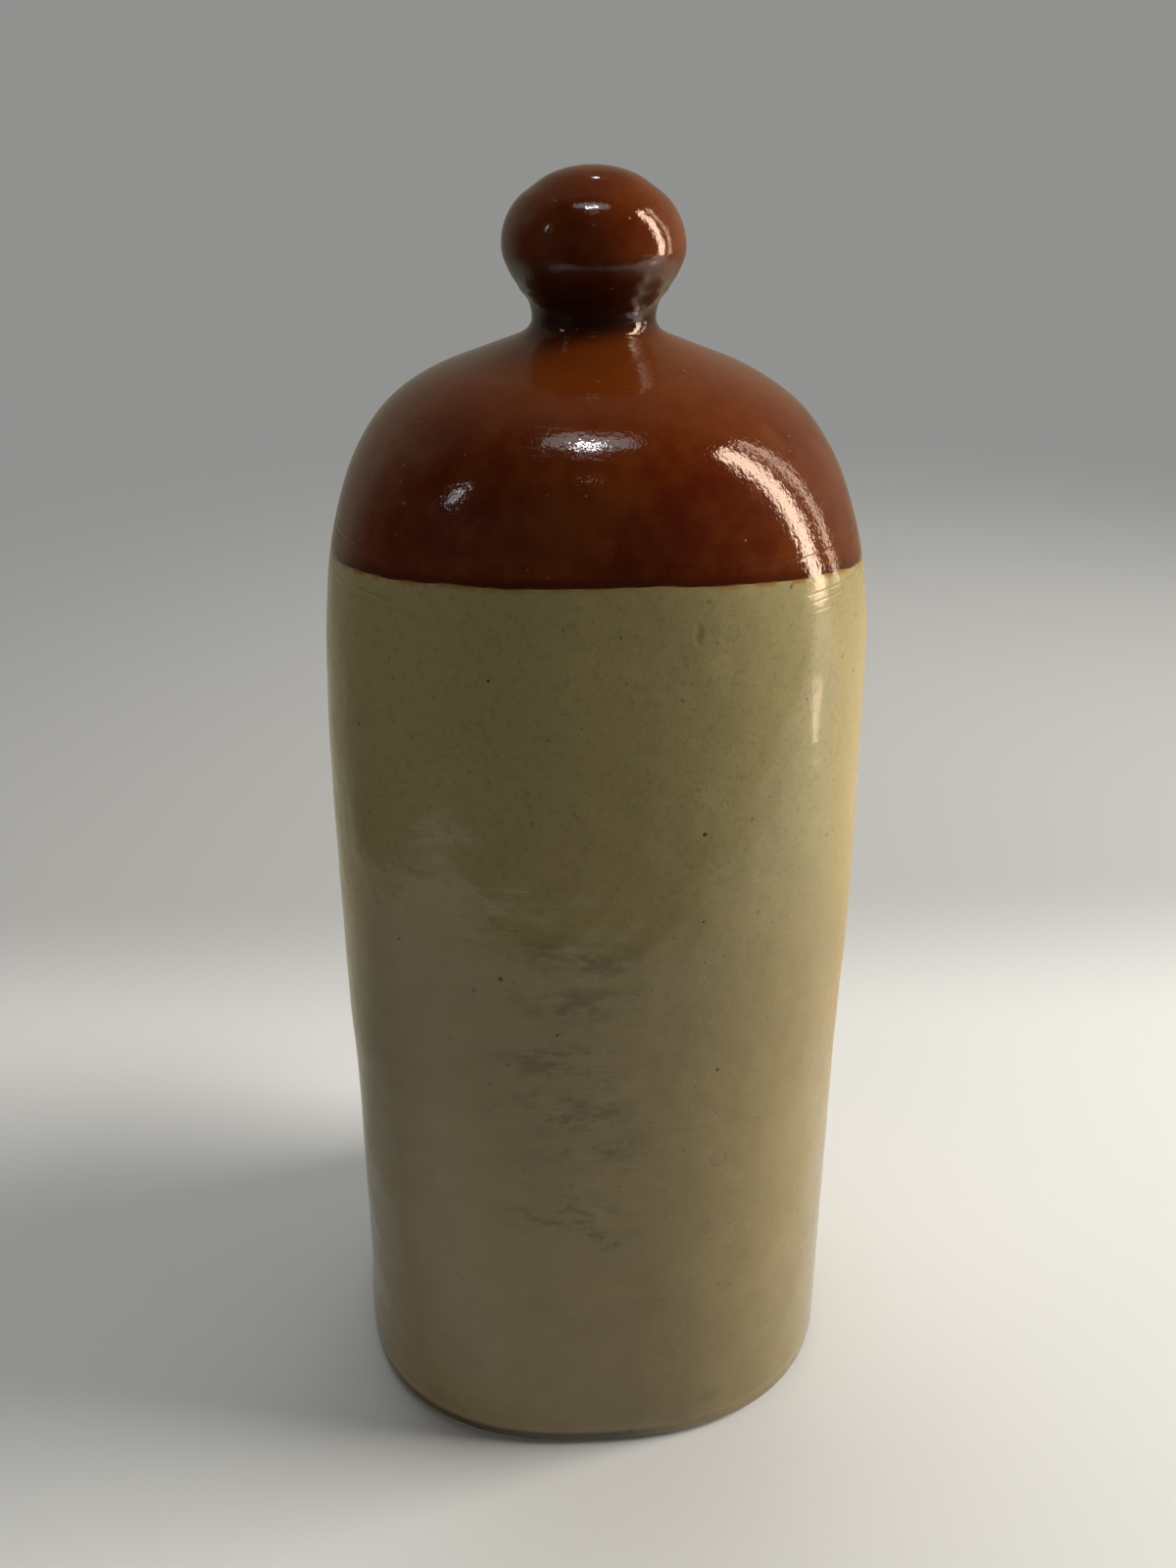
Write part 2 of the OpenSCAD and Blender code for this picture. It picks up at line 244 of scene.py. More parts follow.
# The rolled edge of the brown glaze: where it is full, where it thins and to what share, and where it ends
ROLL_FULL = 2.0 * MM
ROLL_THINS = (0.7 * MM, 2.3 * MM)
ROLL_LEFT = 0.45
ROLL_END = 24 * MM
# Share of the scribed lines that is left on the worn front
SCRIBED_FRONT = 0.03


class Body:
    """The bottle's own surfaces. Angles run from +X towards the back at +Y, and the front is at -Y."""

    def __init__(self, group):
        self.__dict__.update(sizes_of(group))
        self.half_foot = self.foot_width / 2
        self.taper = (self.foot_width - self.spring_width) / 2 / self.spring_height
        self.seam = self.spring_height + self.seam_rise
        self.round_from = self.spring_height + self.round_rise
        self.knob_seat = self.spring_height + self.dome_rise - self.knob_set
        self.chamber_top = self.knob_seat - self.wall

    def side_line(self, z):
        return self.half_foot - self.taper * z

    def closing(self, z, height):
        if z <= self.spring_height:
            return 1.0
        part = ((z - self.spring_height) / height) ** self.dome_full
        return max(1 - part, 0.0) ** (1 / self.dome_full)

    def half_width(self, z):
        return self.side_line(z) * self.closing(z, self.dome_rise)

    def oval(self, z, back):
        """Half width, depth and squareness of the section at a height, for the back or the front."""
        t = rise(z, self.round_from, self.knob_seat)
        width = self.half_width(z)
        share = (self.back_depth if back else self.front_depth) / self.half_foot
        square = self.back_square if back else self.front_square
        return width, width * mix(share, 1.0, t), mix(square, 2.0, t)

    def section(self, angle, z, inset=0.0):
        """A point of the true shape, taken in from the outside by an inset."""
        width, depth, square = self.oval(z, math.sin(angle) > 0)
        radius = squared_radius(angle, width - inset, depth - inset, square)
        return Vector((radius * math.cos(angle), radius * math.sin(angle), z))

    def back_point(self, x, z, inset=0.0):
        """A point of the back's true shape, over a place seen from behind."""
        width, depth, square = self.oval(z, True)
        part = min(abs(x) / (width - inset), 1.0) ** square
        return Vector((x, (depth - inset) * (1 - part) ** (1 / square), z))

    def settled(self, point):
        """The same point on the wall as the hand left it, a little off the true shape."""
        x, y, z = point
        angle = math.atan2(y, x)
        fade = rise(z, *STRAYS_FROM) * (1 - rise(z, *STRAYS_UNTIL))
        slow = math.sin(z / SLOW_WAVE + 0.8) * (0.6 + 0.4 * math.cos(angle + 0.5))
        pressed = math.sin(3 * angle + 1.1) * math.cos(z / PRESSED_WAVE + 0.4)
        thrown = 0.3 * math.sin(z / THROWN_WAVE + 1.5 * math.sin(angle))
        shift = -self.wobble * fade * (1.3 + 0.55 * slow + 0.45 * pressed + thrown) / 2
        scale = 1 + (shift + self.hand_shape(angle, z)) / math.hypot(x, y)
        return Vector((x * scale, y * scale, z))

    def hand_shape(self, angle, z):
        """How far the hand pushed the wall in or out on the left and on the right."""
        left = max(-math.cos(angle), 0.0) ** 2
        right = max(math.cos(angle), 0.0) ** 2
        pushed = LOW_LEFT_PUSH * left * rise(z, *LOW_LEFT_FROM) * (1 - rise(z, *LOW_LEFT_UNTIL))
        for height, reach, left_push, right_push in HAND_PUSHES:
            pushed += (left_push * left + right_push * right) * bell(z, height * MM, reach * MM)
        return pushed * MM

    def knob_point(self, angle, radius, z):
        """A point of the knob or its neck, with the crown's lean."""
        point = self.settled(Vector((radius * math.cos(angle), radius * math.sin(angle), z)))
        point.x -= self.knob_lean * rise(z, *KNOB_LEANS)
        return point

    def outside(self, angle, z, proud=0.0):
        return self.settled(self.section(angle, z, -proud))

    def dip(self, angle):
        """Height of the brown glaze's edge: tilted, and a little uneven as a dipped edge is."""
        across = self.section(angle, self.dip_height)
        front = max(-across.y / self.front_depth, 0.0) ** DIP_CURVE
        slope = self.dip_tilt * front - self.dip_lean * across.x / self.half_foot
        waver = sum(share * math.sin(count * angle + turn) for share, count, turn in DIP_WAVES)
        return self.dip_height + slope + self.dip_waver * waver

    def scribed(self, angle, z, lines):
        """Depth of the fine turned lines, which are worn away towards the front."""
        depth = self.scribe_depth * mix(SCRIBED_FRONT, 1.0, math.cos(angle) ** 2)
        return sum(depth * share * bell(z, at, self.scribe_width) for at, share in lines)

    def glaze_roll(self, above):
        """Thickness of the brown glaze at a distance above its edge."""
        roll = self.bead * min(above / ROLL_FULL, 1.0)
        return roll * mix(1.0, ROLL_LEFT, rise(above, *ROLL_THINS)) * (1 - rise(above, 0.0, ROLL_END))

    def chamber_inset(self, z):
        """How far the dome's inside lies below its outside."""
        t = rise(z, self.seam, self.chamber_top)
        width = (self.side_line(z) - self.wall) * self.closing(z, self.dome_rise - self.wall)
        return mix(self.wall, self.half_width(z) - width, t)

    def knob_outline(self):
        """Radius and height of the knob's outline, from the dome to just short of its top."""
        foot = self.half_width(self.knob_seat)
        step = 0.5 * MM
        slope = math.atan2(step, self.half_width(self.knob_seat - step) - foot)
        neck = self.neck_width / 2
        fillet_x = neck + self.neck_fillet
        run = foot - fillet_x
        neck_z = self.knob_seat + run * math.tan(slope) + self.neck_fillet / math.cos(slope)
        groove_x = neck + self.groove_radius
        side_x = self.knob_width / 2 - self.knob_side
        reach = self.knob_side + self.groove_radius
        side_z = neck_z + math.sqrt(reach ** 2 - (groove_x - side_x) ** 2)
        groove_turn = math.atan2(side_z - neck_z, side_x - groove_x)
        flare_x = neck + self.neck_flare
        reach = (flare_x - foot) * math.sin(slope) + (neck_z - self.knob_seat) * math.cos(slope)
        flare_z = math.sqrt(reach ** 2 - (self.neck_flare * math.sin(slope)) ** 2) / math.cos(slope)
        flare_turn = math.atan2(flare_z, self.neck_flare * math.tan(slope))
        outline = [(foot, self.knob_seat)]
        for a in span(flare_turn, 0.0, 12):
            outline.append((flare_x - self.neck_flare * math.cos(a), neck_z - flare_z * math.sin(a)))
        outline += arc(groove_x, neck_z, self.groove_radius, 2 * QUARTER, groove_turn, 12)[1:]
        outline += arc(side_x, side_z, self.knob_side, groove_turn - 2 * QUARTER, 0.0, 16)[1:]
        for a in span(0.0, CROWN_STOPS, 30)[1:]:
            outline.append((self.knob_width / 2 * math.cos(a), side_z + self.knob_crown * math.sin(a)))
        return [(radius + self.knob_squeeze(z - side_z), z) for radius, z in outline]

    def knob_squeeze(self, above):
        """How far the knob's outline strays from its arcs, at a height above its widest level."""
        return sum(push * MM * bell(above, at * MM, reach * MM) for at, reach, push in KNOB_SQUEEZES)


def arc(x, z, radius, start, end, steps):
    """Points along an arc, as pairs of radius and height."""
    return [(x + radius * math.cos(a), z + radius * math.sin(a)) for a in span(start, end, steps)]


def placed(name, data):
    """An object in the scene that holds a mesh, a lamp or a camera."""
    made = bpy.data.objects.new(name, data)
    bpy.context.scene.collection.objects.link(made)
    return made


class Skin:
    """Points and faces of one piece, with each point's distance from the brown glaze's edge."""

    def __init__(self):
        self.points = []
        self.faces = []
        self.edge_marks = []

    def row(self, points, marks=None):
        """Adds a row of points and returns their places in the list."""
        first = len(self.points)
        self.points.extend(points)
        self.edge_marks.extend(marks or [FAR_FROM_EDGE] * len(points))
        return list(range(first, len(self.points)))

    def join(self, low, high, left_open=()):
        """Faces between two closed rows of as many points, apart from the columns left open."""
        count = len(low)
        for i in range(count):
            if i not in left_open:
                k = (i + 1) % count
                self.faces.append((low[i], low[k], high[k], high[i]))

    def join_all(self, rows):
        for low, high in zip(rows, rows[1:]):
            self.join(low, high)

    def close(self, row):
        self.faces.append(tuple(row))

    def piece(self, name, material, sharp_angle):
        """The finished object, closed, smooth, with its sharp edges marked."""
        mesh = bpy.data.meshes.new(name)
        mesh.from_pydata([tuple(p) for p in self.points], [], self.faces)
        marks = mesh.attributes.new("glaze_edge", "FLOAT", "POINT")
        marks.data.foreach_set("value", self.edge_marks)
        work = bmesh.new()
        work.from_mesh(mesh)
        bmesh.ops.recalc_face_normals(work, faces=work.faces)
        open_edges = [edge for edge in work.edges if len(edge.link_faces) != 2]
        work.to_mesh(mesh)
        work.free()
        if open_edges:
            raise RuntimeError(f"{name} isn't closed: {len(open_edges)} edges")
        mesh.shade_smooth()
        mesh.set_sharp_from_angle(angle=sharp_angle)
        mesh.materials.append(material)
        return placed(name, mesh)


def body_angles():
    return [TURN * i / BODY_COLUMNS for i in range(BODY_COLUMNS)]


class Filler:
    """The collar, the thread and the stopper, in rings round the filler's axis."""

    def __init__(self, group):
        self.__dict__.update(sizes_of(group))
        self.bore = self.bore_width / 2
        self.collar = self.collar_width / 2
        self.spigot = self.spigot_width / 2
        self.core = self.bore - self.thread_depth - self.thread_gap
        self.head_from = WASHER_HIGH[1]
        self.tip = STOPPER_LOW[1]
        self.grip_top = STOPPER_HIGH[1]

    def place(self, turn, radius, out):
        """A point at a turn round the filler's axis, a radius, and a distance out of the back."""
        return Vector((radius * math.cos(turn), out, self.axis_height + radius * math.sin(turn)))

    def ring(self, turns, radius, out):
        """Points at some turns round the filler's axis, at one radius and one distance out."""
        return [self.place(turn, radius, out) for turn in turns]

    def tooth(self, turn, out, datum, low, high):
        """Share of the thread's depth at a place, for a right-hand ridge from low to high."""
        along = (out - datum) / self.lead + turn / TURN
        middle = datum + self.lead * (round(along) - turn / TURN)
        half = (self.lead / 2 - self.thread_gap) / 2
        flank = self.flank_run / 2
        grown = rise(min(middle - low, high - middle), 0.0, self.lead / 6)
        return (1 - rise(abs(out - middle), half - flank, half + flank)) * grown

    def bore_radius(self, turn, out):
        low = self.inner_end + self.thread_end
        high = self.rim_out - self.thread_start
        return self.bore - self.thread_depth * self.tooth(turn, out, self.rim_out, low, high)

    def plug_radius(self, turn, out):
        low = self.tip + self.tip_round + self.thread_end
        high = self.rim_out - self.thread_start
        ridge = self.thread_depth * self.tooth(turn, out, self.rim_out + self.lead / 2, low, high)
        return self.core + ridge


# Shader nodes

ORIGIN = (0.0, 0.0, 0.0)
GREY = (0.5, 0.5, 0.5, 1.0)


def rgba(three):
    return (three[0], three[1], three[2], 1.0)


def socket_kind(default):
    """The kind of socket for a default: a number, a vector of three or a colour of four."""
    if isinstance(default, float):
        return "NodeSocketFloat"
    return "NodeSocketVector" if len(default) == 3 else "NodeSocketColor"


class Nodes:
    """A shader node tree, with short ways to add what the finishes are made of."""

    def __init__(self, tree):
        self.tree = tree

    def fill(self, made, sockets):
        """Fills sockets of a node with values or links."""
        for key, value in sockets.items():
            if isinstance(value, bpy.types.NodeSocket):
                self.tree.links.new(value, made.inputs[key])
            else:
                made.inputs[key].default_value = value

    def add(self, kind, settings=None, sockets=None):
        """Adds a node, sets its options and fills its sockets."""
        made = self.tree.nodes.new(kind)
        for key, value in (settings or {}).items():
            setattr(made, key, value)
        self.fill(made, sockets or {})
        return made

    def calc(self, operation, first, second=0.0, clamp=False):
        settings = {"operation": operation, "use_clamp": clamp}
        return self.add("ShaderNodeMath", settings, {0: first, 1: second}).outputs[0]

    def times(self, first, second, clamp=False):
        return self.calc("MULTIPLY", first, second, clamp)

    def plus(self, first, second, clamp=False):
        return self.calc("ADD", first, second, clamp)

    def most(self, first, second):
        """The stronger of two masks."""
        return self.calc("MAXIMUM", first, second)

    def ramp(self, value, low, high, to_low=0.0, to_high=1.0):
        """A smooth step of a value from one range to another."""
        sockets = {"Value": value, "From Min": low, "From Max": high, "To Min": to_low, "To Max": to_high}
        return self.add("ShaderNodeMapRange", {"interpolation_type": "SMOOTHSTEP"}, sockets).outputs[0]

    def fall(self, value, low, high, strength=1.0):
        """A mask that fades out from low to high."""
        return self.ramp(value, low, high, strength, 0.0)

    def band(self, value, start, full, ease, end):
        """A mask that is full between two values and fades out on both sides of them."""
        return self.times(self.ramp(value, start, full), self.fall(value, ease, end))

    def tint(self, share, first, second, blend="MIX"):
        """One colour laid over another by a share."""
        settings = {"data_type": "RGBA", "blend_type": blend}
        return self.add("ShaderNodeMix", settings, {0: share, 6: first, 7: second}).outputs[2]

    def vector(self, operation, first, second):
        return self.add("ShaderNodeVectorMath", {"operation": operation}, {0: first, 1: second}).outputs[0]

    def size(self, vector):
        """Length of a vector."""
        return self.add("ShaderNodeVectorMath", {"operation": "LENGTH"}, {0: vector}).outputs["Value"]

    def along(self, position, axis):
        """One coordinate of a position."""
        return self.add("ShaderNodeSeparateXYZ", None, {"Vector": position}).outputs[axis]

    def stretched(self, position, scale, turn=ORIGIN):
        """A position scaled, and turned, for a texture with a direction."""
        sockets = {"Vector": position, "Rotation": turn, "Scale": scale}
        return self.add("ShaderNodeMapping", None, sockets).outputs[0]

    def noise(self, position, scale, detail=2.0, roughness=0.5):
        sockets = {"Vector": position, "Scale": scale, "Detail": detail, "Roughness": roughness}
        return self.add("ShaderNodeTexNoise", None, sockets).outputs["Fac"]

    def effect(self, name, sockets):
        """Places one of the shared effects and returns its output."""
        group = bpy.data.node_groups.get(name) or EFFECT_BUILDERS[name]()
        return self.add("ShaderNodeGroup", {"node_tree": group}, sockets).outputs[0]


class Effect(Nodes):
    """A shared effect: a node group with named inputs and one output."""

    def __init__(self, name, inputs, output):
        super().__init__(bpy.data.node_groups.new(name, "ShaderNodeTree"))
        interface = self.tree.interface
        for label, default in inputs.items():
            socket = interface.new_socket(name=label, in_out="INPUT", socket_type=socket_kind(default))
            socket.default_value = default
        kind = "NodeSocketColor" if output == "Colour" else "NodeSocketFloat"
        interface.new_socket(name=output, in_out="OUTPUT", socket_type=kind)
        self.inputs = self.add("NodeGroupInput").outputs
        self.end = self.add("NodeGroupOutput").inputs[output]

    def __getitem__(self, label):
        return self.inputs[label]

    def give(self, value):
        """Sends a value to the output and returns the finished group."""
        self.tree.links.new(value, self.end)
        return self.tree


def build_pooling():
    """Colour that drifts between a glaze lying thin and lying thick."""
    inputs = {"Position": ORIGIN, "Thin": GREY, "Thick": GREY, "Scale": 18.0, "Contrast": 0.25}
    group = Effect("glaze_pooling", inputs, "Colour")
    wide = group.noise(group["Position"], group["Scale"], 3.0, 0.55)
    fine = group.noise(group["Position"], group.times(group["Scale"], 9.0), 3.0, 0.6)
    both = group.plus(group.times(wide, 0.6), group.times(fine, 0.4))
    low = group.calc("SUBTRACT", 0.5, group["Contrast"])
    share = group.ramp(both, low, group.plus(0.5, group["Contrast"]))
    return group.give(group.tint(share, group["Thin"], group["Thick"]))


def build_specks():
    """Small round specks scattered through the clay or the glaze."""
    inputs = {"Position": ORIGIN, "Scale": 200.0, "Size": 0.1, "Share": 0.3}
    group = Effect("scattered_specks", inputs, "Mask")
    sockets = {"Vector": group["Position"], "Scale": group["Scale"]}
    cells = group.add("ShaderNodeTexVoronoi", None, sockets).outputs
    parts = group.add("ShaderNodeSeparateColor", None, {"Color": cells["Color"]}).outputs
    wide = group.times(group["Size"], group.plus(parts["Red"], 0.25))
    spot = group.fall(cells["Distance"], group.times(wide, 0.45), wide)
    chosen = group.calc("LESS_THAN", parts["Green"], group["Share"])
    return group.give(group.times(spot, chosen))


def build_turning():
    """Fine level lines left by turning, as a height."""
    group = Effect("turning_lines", {"Position": ORIGIN, "Lines": 700.0, "Waver": 9.0}, "Height")
    stretch = {"X": group["Waver"], "Y": group["Waver"], "Z": group["Lines"]}
    scale = group.add("ShaderNodeCombineXYZ", None, stretch).outputs[0]
    return group.give(group.noise(group.stretched(group["Position"], scale), 1.0, 2.0, 0.6))


def build_skin():
    """The faint ripple and pin-prick grain of a fired surface, as a height."""
    inputs = {"Position": ORIGIN, "Ripple": 120.0, "Grain": 900.0, "Mix": 0.4}
    group = Effect("fired_skin", inputs, "Height")
    ripple = group.noise(group["Position"], group["Ripple"], 2.0, 0.5)
    grain = group.noise(group["Position"], group["Grain"], 2.0, 0.6)
    rest = group.calc("SUBTRACT", 1.0, group["Mix"])
    return group.give(group.plus(group.times(ripple, rest), group.times(grain, group["Mix"])))


# The two ways that scratches run: how they are turned, and how they are stretched
SCRATCH_WAYS = (((0.3, 0.5, 0.2), (60.0, 60.0, 2600.0)), ((0.2, 0.9, 0.1), (50.0, 50.0, 2200.0)))
SCRATCHED_PLACES = (38.0, 38.0, 38.0)


def build_scratches():
    """Short fine scratches from handling."""
    group = Effect("handling_scratches", {"Position": ORIGIN, "Scale": 1.0, "Rarity": 0.7}, "Mask")
    hairs = []
    for turn, stretch in SCRATCH_WAYS:
        place = group.stretched(group["Position"], stretch, turn)
        hairs.append(group.ramp(group.noise(place, group["Scale"], 0.0), group["Rarity"], 0.86))
    place = group.stretched(group["Position"], SCRATCHED_PLACES)
    gate = group.ramp(group.noise(place, group["Scale"], 1.0), 0.52, 0.62)
    return group.give(group.times(group.most(*hairs), gate))


def build_mark():
    """A soft-edged mark at one place, with its own reach along each axis."""
    inputs = {"Position": ORIGIN, "Centre": ORIGIN, "Reach": (0.01, 0.01, 0.01), "Core": 0.5}
    group = Effect("placed_mark", inputs, "Mask")
    away = group.vector("SUBTRACT", group["Position"], group["Centre"])
    share = group.vector("DIVIDE", away, group["Reach"])
    return group.give(group.fall(group.size(share), group["Core"], 1.0))


EFFECT_BUILDERS = {
    "glaze_pooling": build_pooling,
    "scattered_specks": build_specks,
    "turning_lines": build_turning,
    "fired_skin": build_skin,
    "handling_scratches": build_scratches,
    "placed_mark": build_mark,
}

# How strongly each kind of surface bends light
CLEAR_GLAZE = 1.5
BROWN_GLAZE = 1.58
RUBBER = 1.52
BOARD = 1.5
# Middle and reach of the front's marks along the bottle's depth, in millimetres
FRONT_AT = -50.0
FRONT_DEEP = 30.0


class Finish(Nodes):
    """A material in the making, with the colour laid on it so far."""

    def __init__(self, name):
        self.material = bpy.data.materials.new(name)
        self.material.use_nodes = True
        super().__init__(self.material.node_tree)
        self.tree.nodes.clear()
        self.shader = self.add("ShaderNodeBsdfPrincipled")
        self.output = self.add("ShaderNodeOutputMaterial", None, {"Surface": self.shader.outputs["BSDF"]})
        self.position = self.add("ShaderNodeTexCoord").outputs["Object"]
        self.base = None

    def place(self, axis):
        """One coordinate of the place on the piece."""
        return self.along(self.position, axis)

    def grain(self, scale, detail=2.0, roughness=0.5):
        """Noise over the piece."""
        return self.noise(self.position, scale, detail, roughness)

    def spread(self, name, **sockets):
        """One of the shared effects over the piece."""
        return self.effect(name, {"Position": self.position, **sockets})

    def pooled(self, thin, thick, scale, contrast):
        sockets = {"Thin": rgba(thin), "Thick": rgba(thick), "Scale": scale, "Contrast": contrast}
        return self.spread("glaze_pooling", **sockets)

    def specks(self, scale, size, share):
        return self.spread("scattered_specks", Scale=scale, Size=size, Share=share)

    def scratches(self):
        return self.spread("handling_scratches", Scale=1.0, Rarity=0.72)

    def mark(self, centre, reach, core):
        return self.spread("placed_mark", Centre=centre, Reach=reach, Core=core)

    def front_mark(self, across, up, wide, high, core):
        """A soft-edged mark on the front: its place across and up, and its reach, in millimetres."""
        centre = (across * MM, FRONT_AT * MM, up * MM)
        return self.mark(centre, (wide * MM, FRONT_DEEP * MM, high * MM), core)

    def edge_distance(self):
        """Distance from the brown glaze's edge."""
        return self.add("ShaderNodeAttribute", {"attribute_name": "glaze_edge"}).outputs["Fac"]

    def ragged_fringe(self, near, far, thin, thick):
        """The ragged fringe of thin glaze along the brown glaze's edge, fading between two distances."""
        edge = self.fall(self.edge_distance(), near, far)
        return self.times(edge, self.ramp(self.grain(260.0), thin, thick))

    def filler_reach(self, filler):
        """Distance from the filler's axis."""
        away = self.vector("SUBTRACT", self.position, (0.0, 0.0, filler.axis_height))
        return self.size(self.vector("MULTIPLY", away, (1.0, 0.0, 1.0)))

    def lay(self, shade, mask, share=None):
        """Lays a colour over the finish by a mask, or by a share of one."""
        if share is not None:
            mask = self.times(mask, share)
        self.base = self.tint(mask, self.base, rgba(shade))

    def dull(self, scale, low, high):
        """Roughness that drifts between two values."""
        return self.ramp(self.grain(scale, 3.0, 0.6), 0.3, 0.7, low, high)

    def bump(self, height, depth):
        """Adds a bump of a real depth in metres over those already there."""
        sockets = {"Height": height, "Distance": depth}
        normal = self.shader.inputs["Normal"]
        if normal.is_linked:
            sockets["Normal"] = normal.links[0].from_socket
        self.fill(self.shader, {"Normal": self.add("ShaderNodeBump", None, sockets).outputs["Normal"]})

    def fired(self, ripple, grain, share, depth):
        """Adds the faint ripple and grain of a fired or moulded surface."""
        self.bump(self.spread("fired_skin", Ripple=ripple, Grain=grain, Mix=share), depth)

    def done(self, rough, refraction):
        """Gives the shader its colour, roughness and refraction, and returns the material."""
        self.fill(self.shader, {"Base Color": self.base, "Roughness": rough, "IOR": refraction})
        return self.material


# Marks on the barrel's front, in millimetres: place across and up, reach across and up, and share of core
RING_OUTSIDE = (24.2, 91.0, 2.4, 2.4, 0.75)
RING_INSIDE = (24.2, 91.0, 1.7, 1.7, 0.6)
DENT = (15.2, 209.9, 1.2, 2.6, 0.1)
CRUMBS = (26.2, 13.0, 5.0, 3.5, 0.2)
FOOT_CHIP = (6.7, 3.6, 1.9, 1.9, 0.4)
WORN_FRONT = (-6.0, 108.0, 27.0, 56.0, 0.2)
# Patches of grey wear down the middle of the front: place across and up, and reach across and up
GREY_WEAR = (
    (-5.0, 146.0, 17.0, 8.0), (-6.0, 135.0, 18.0, 7.0), (-9.0, 121.0, 20.0, 8.0), (-8.0, 108.0, 23.0, 10.0),
    (-3.0, 97.5, 17.0, 6.0), (-9.0, 79.0, 20.0, 8.5), (1.0, 71.0, 9.0, 5.5),
)
WEAR_CORE = 0.2
# The strokes that the wear is broken into: how they are stretched, and how they lean
WEAR_STROKES = (((125.0, 125.0, 250.0), 0.5), ((135.0, 135.0, 270.0), -0.45))
# Single iron specks on the front: place across and up, and radius
IRON_SPECKS = (
    (-44.7, 188.6, 0.75), (17.7, 172.0, 0.65), (22.9, 116.0, 0.6), (-20.2, 202.3, 0.45),
    (-20.3, 141.0, 0.7), (-9.6, 128.0, 0.5), (18.3, 153.0, 0.4), (-40.1, 145.0, 0.45),
)
SPECK_CORE = 0.35
# Heights on the barrel: painted light that pales its upper part, two turned lines and their strength, the
# bare clay under the foot, a painted highlight along its rim, dirt and painted shade under it, and a
# painted shadow line along its front left
PAINTED_LIGHT_UP = (110 * MM, 185 * MM)
TURNED_LINES = ((212.2 * MM, 0.6), (213.7 * MM, 1.0))
BARE_FOOT = (0.9 * MM, 1.9 * MM)
PAINTED_RIM_HIGHLIGHT = (4.6 * MM, 5.6 * MM, 6.2 * MM, 7.6 * MM)
FOOT_DIRT_AND_SHADE = (0.5 * MM, 1.5 * MM)
PAINTED_SHADOW_LINE = (3.8 * MM, 5.2 * MM)
# Places across and along the bottle between which a mark grows or fades
MORE_SPECKS = (30 * MM, 50 * MM)
FRINGE_GROWS = (12 * MM, 36 * MM)
LINES_GROW = (26 * MM, 44 * MM)
SHADOW_LINE_FADES_RIGHT = (0.0, 26 * MM)
SHADOW_LINE_FADES_BACK = (-30 * MM, -8 * MM)
BACK_BEGINS = (25 * MM, 35 * MM)


def iron_specks(glaze, side):
    """Specks of iron: fine ones all over, more on the right, and single ones on the front."""
    fine = glaze.times(glaze.specks(300.0, 0.15, 0.9), 0.35)
    large = glaze.times(glaze.specks(120.0, 0.07, 0.5), 0.6)
    specks = glaze.most(fine, large)
    more = glaze.times(glaze.specks(185.0, 0.12, 0.55), glaze.ramp(side, *MORE_SPECKS, 0.0, 0.55))
    specks = glaze.most(specks, more)
    for across, up, radius in IRON_SPECKS:
        specks = glaze.most(specks, glaze.front_mark(across, up, radius, radius, SPECK_CORE))
    return specks


def grey_wear(glaze):
    """Old grey smudges down the middle of the front, broken into short strokes."""
    wear = glaze.times(glaze.front_mark(*WORN_FRONT), 0.4)
    for patch in GREY_WEAR:
        wear = glaze.most(wear, glaze.front_mark(*patch, WEAR_CORE))
    strokes = []
    for stretch, lean in WEAR_STROKES:
        place = glaze.stretched(glaze.position, stretch, (0.0, lean, 0.0))
        strokes.append(glaze.ramp(glaze.noise(place, 1.0, 5.0, 0.7), 0.45, 0.66))
    return glaze.times(wear, glaze.most(*strokes))


def small_marks(glaze):
    """A faint broken ring, a small dent and a few crumbs on the front."""
    inside = glaze.front_mark(*RING_INSIDE)
    ring = glaze.calc("SUBTRACT", glaze.front_mark(*RING_OUTSIDE), inside, clamp=True)
    ring = glaze.times(ring, glaze.ramp(glaze.grain(330.0), 0.4, 0.6))
    crumbs = glaze.times(glaze.front_mark(*CRUMBS), glaze.grain(520.0))
    return ring, glaze.front_mark(*DENT), crumbs


def collar_dirt_and_shade(glaze, filler):
    """Old dirt and painted shade in the fillet where the collar meets the back of the barrel, and on the
    collar's face.
    """
    reach = glaze.filler_reach(filler)
    edge = filler.collar
    fillet = glaze.band(reach, edge - 0.2 * MM, edge + 0.6 * MM, edge + 0.8 * MM, edge + 3.6 * MM)
    face = glaze.fall(reach, edge - 4.5 * MM, edge - 2.5 * MM, 0.7)
    # Dirt and painted shade round the collar, on the back only
    dirt_and_shade_mask = glaze.times(glaze.most(fillet, face), glaze.ramp(glaze.place("Y"), *BACK_BEGINS, 0.0, 0.42))
    return glaze.times(dirt_and_shade_mask, glaze.ramp(glaze.grain(130.0, 4.0, 0.65), 0.35, 0.62, 0.25, 1.0))


def turned_lines(glaze, up, apart):
    """Two fine lines scribed round the bottle below the glaze's edge, worn away on the front."""
    lines = []
    for at, strength in TURNED_LINES:
        away = glaze.calc("ABSOLUTE", glaze.calc("SUBTRACT", up, at))
        lines.append(glaze.fall(away, 0.05 * MM, 0.32 * MM, strength))
    return glaze.times(glaze.most(*lines), glaze.ramp(apart, *LINES_GROW))


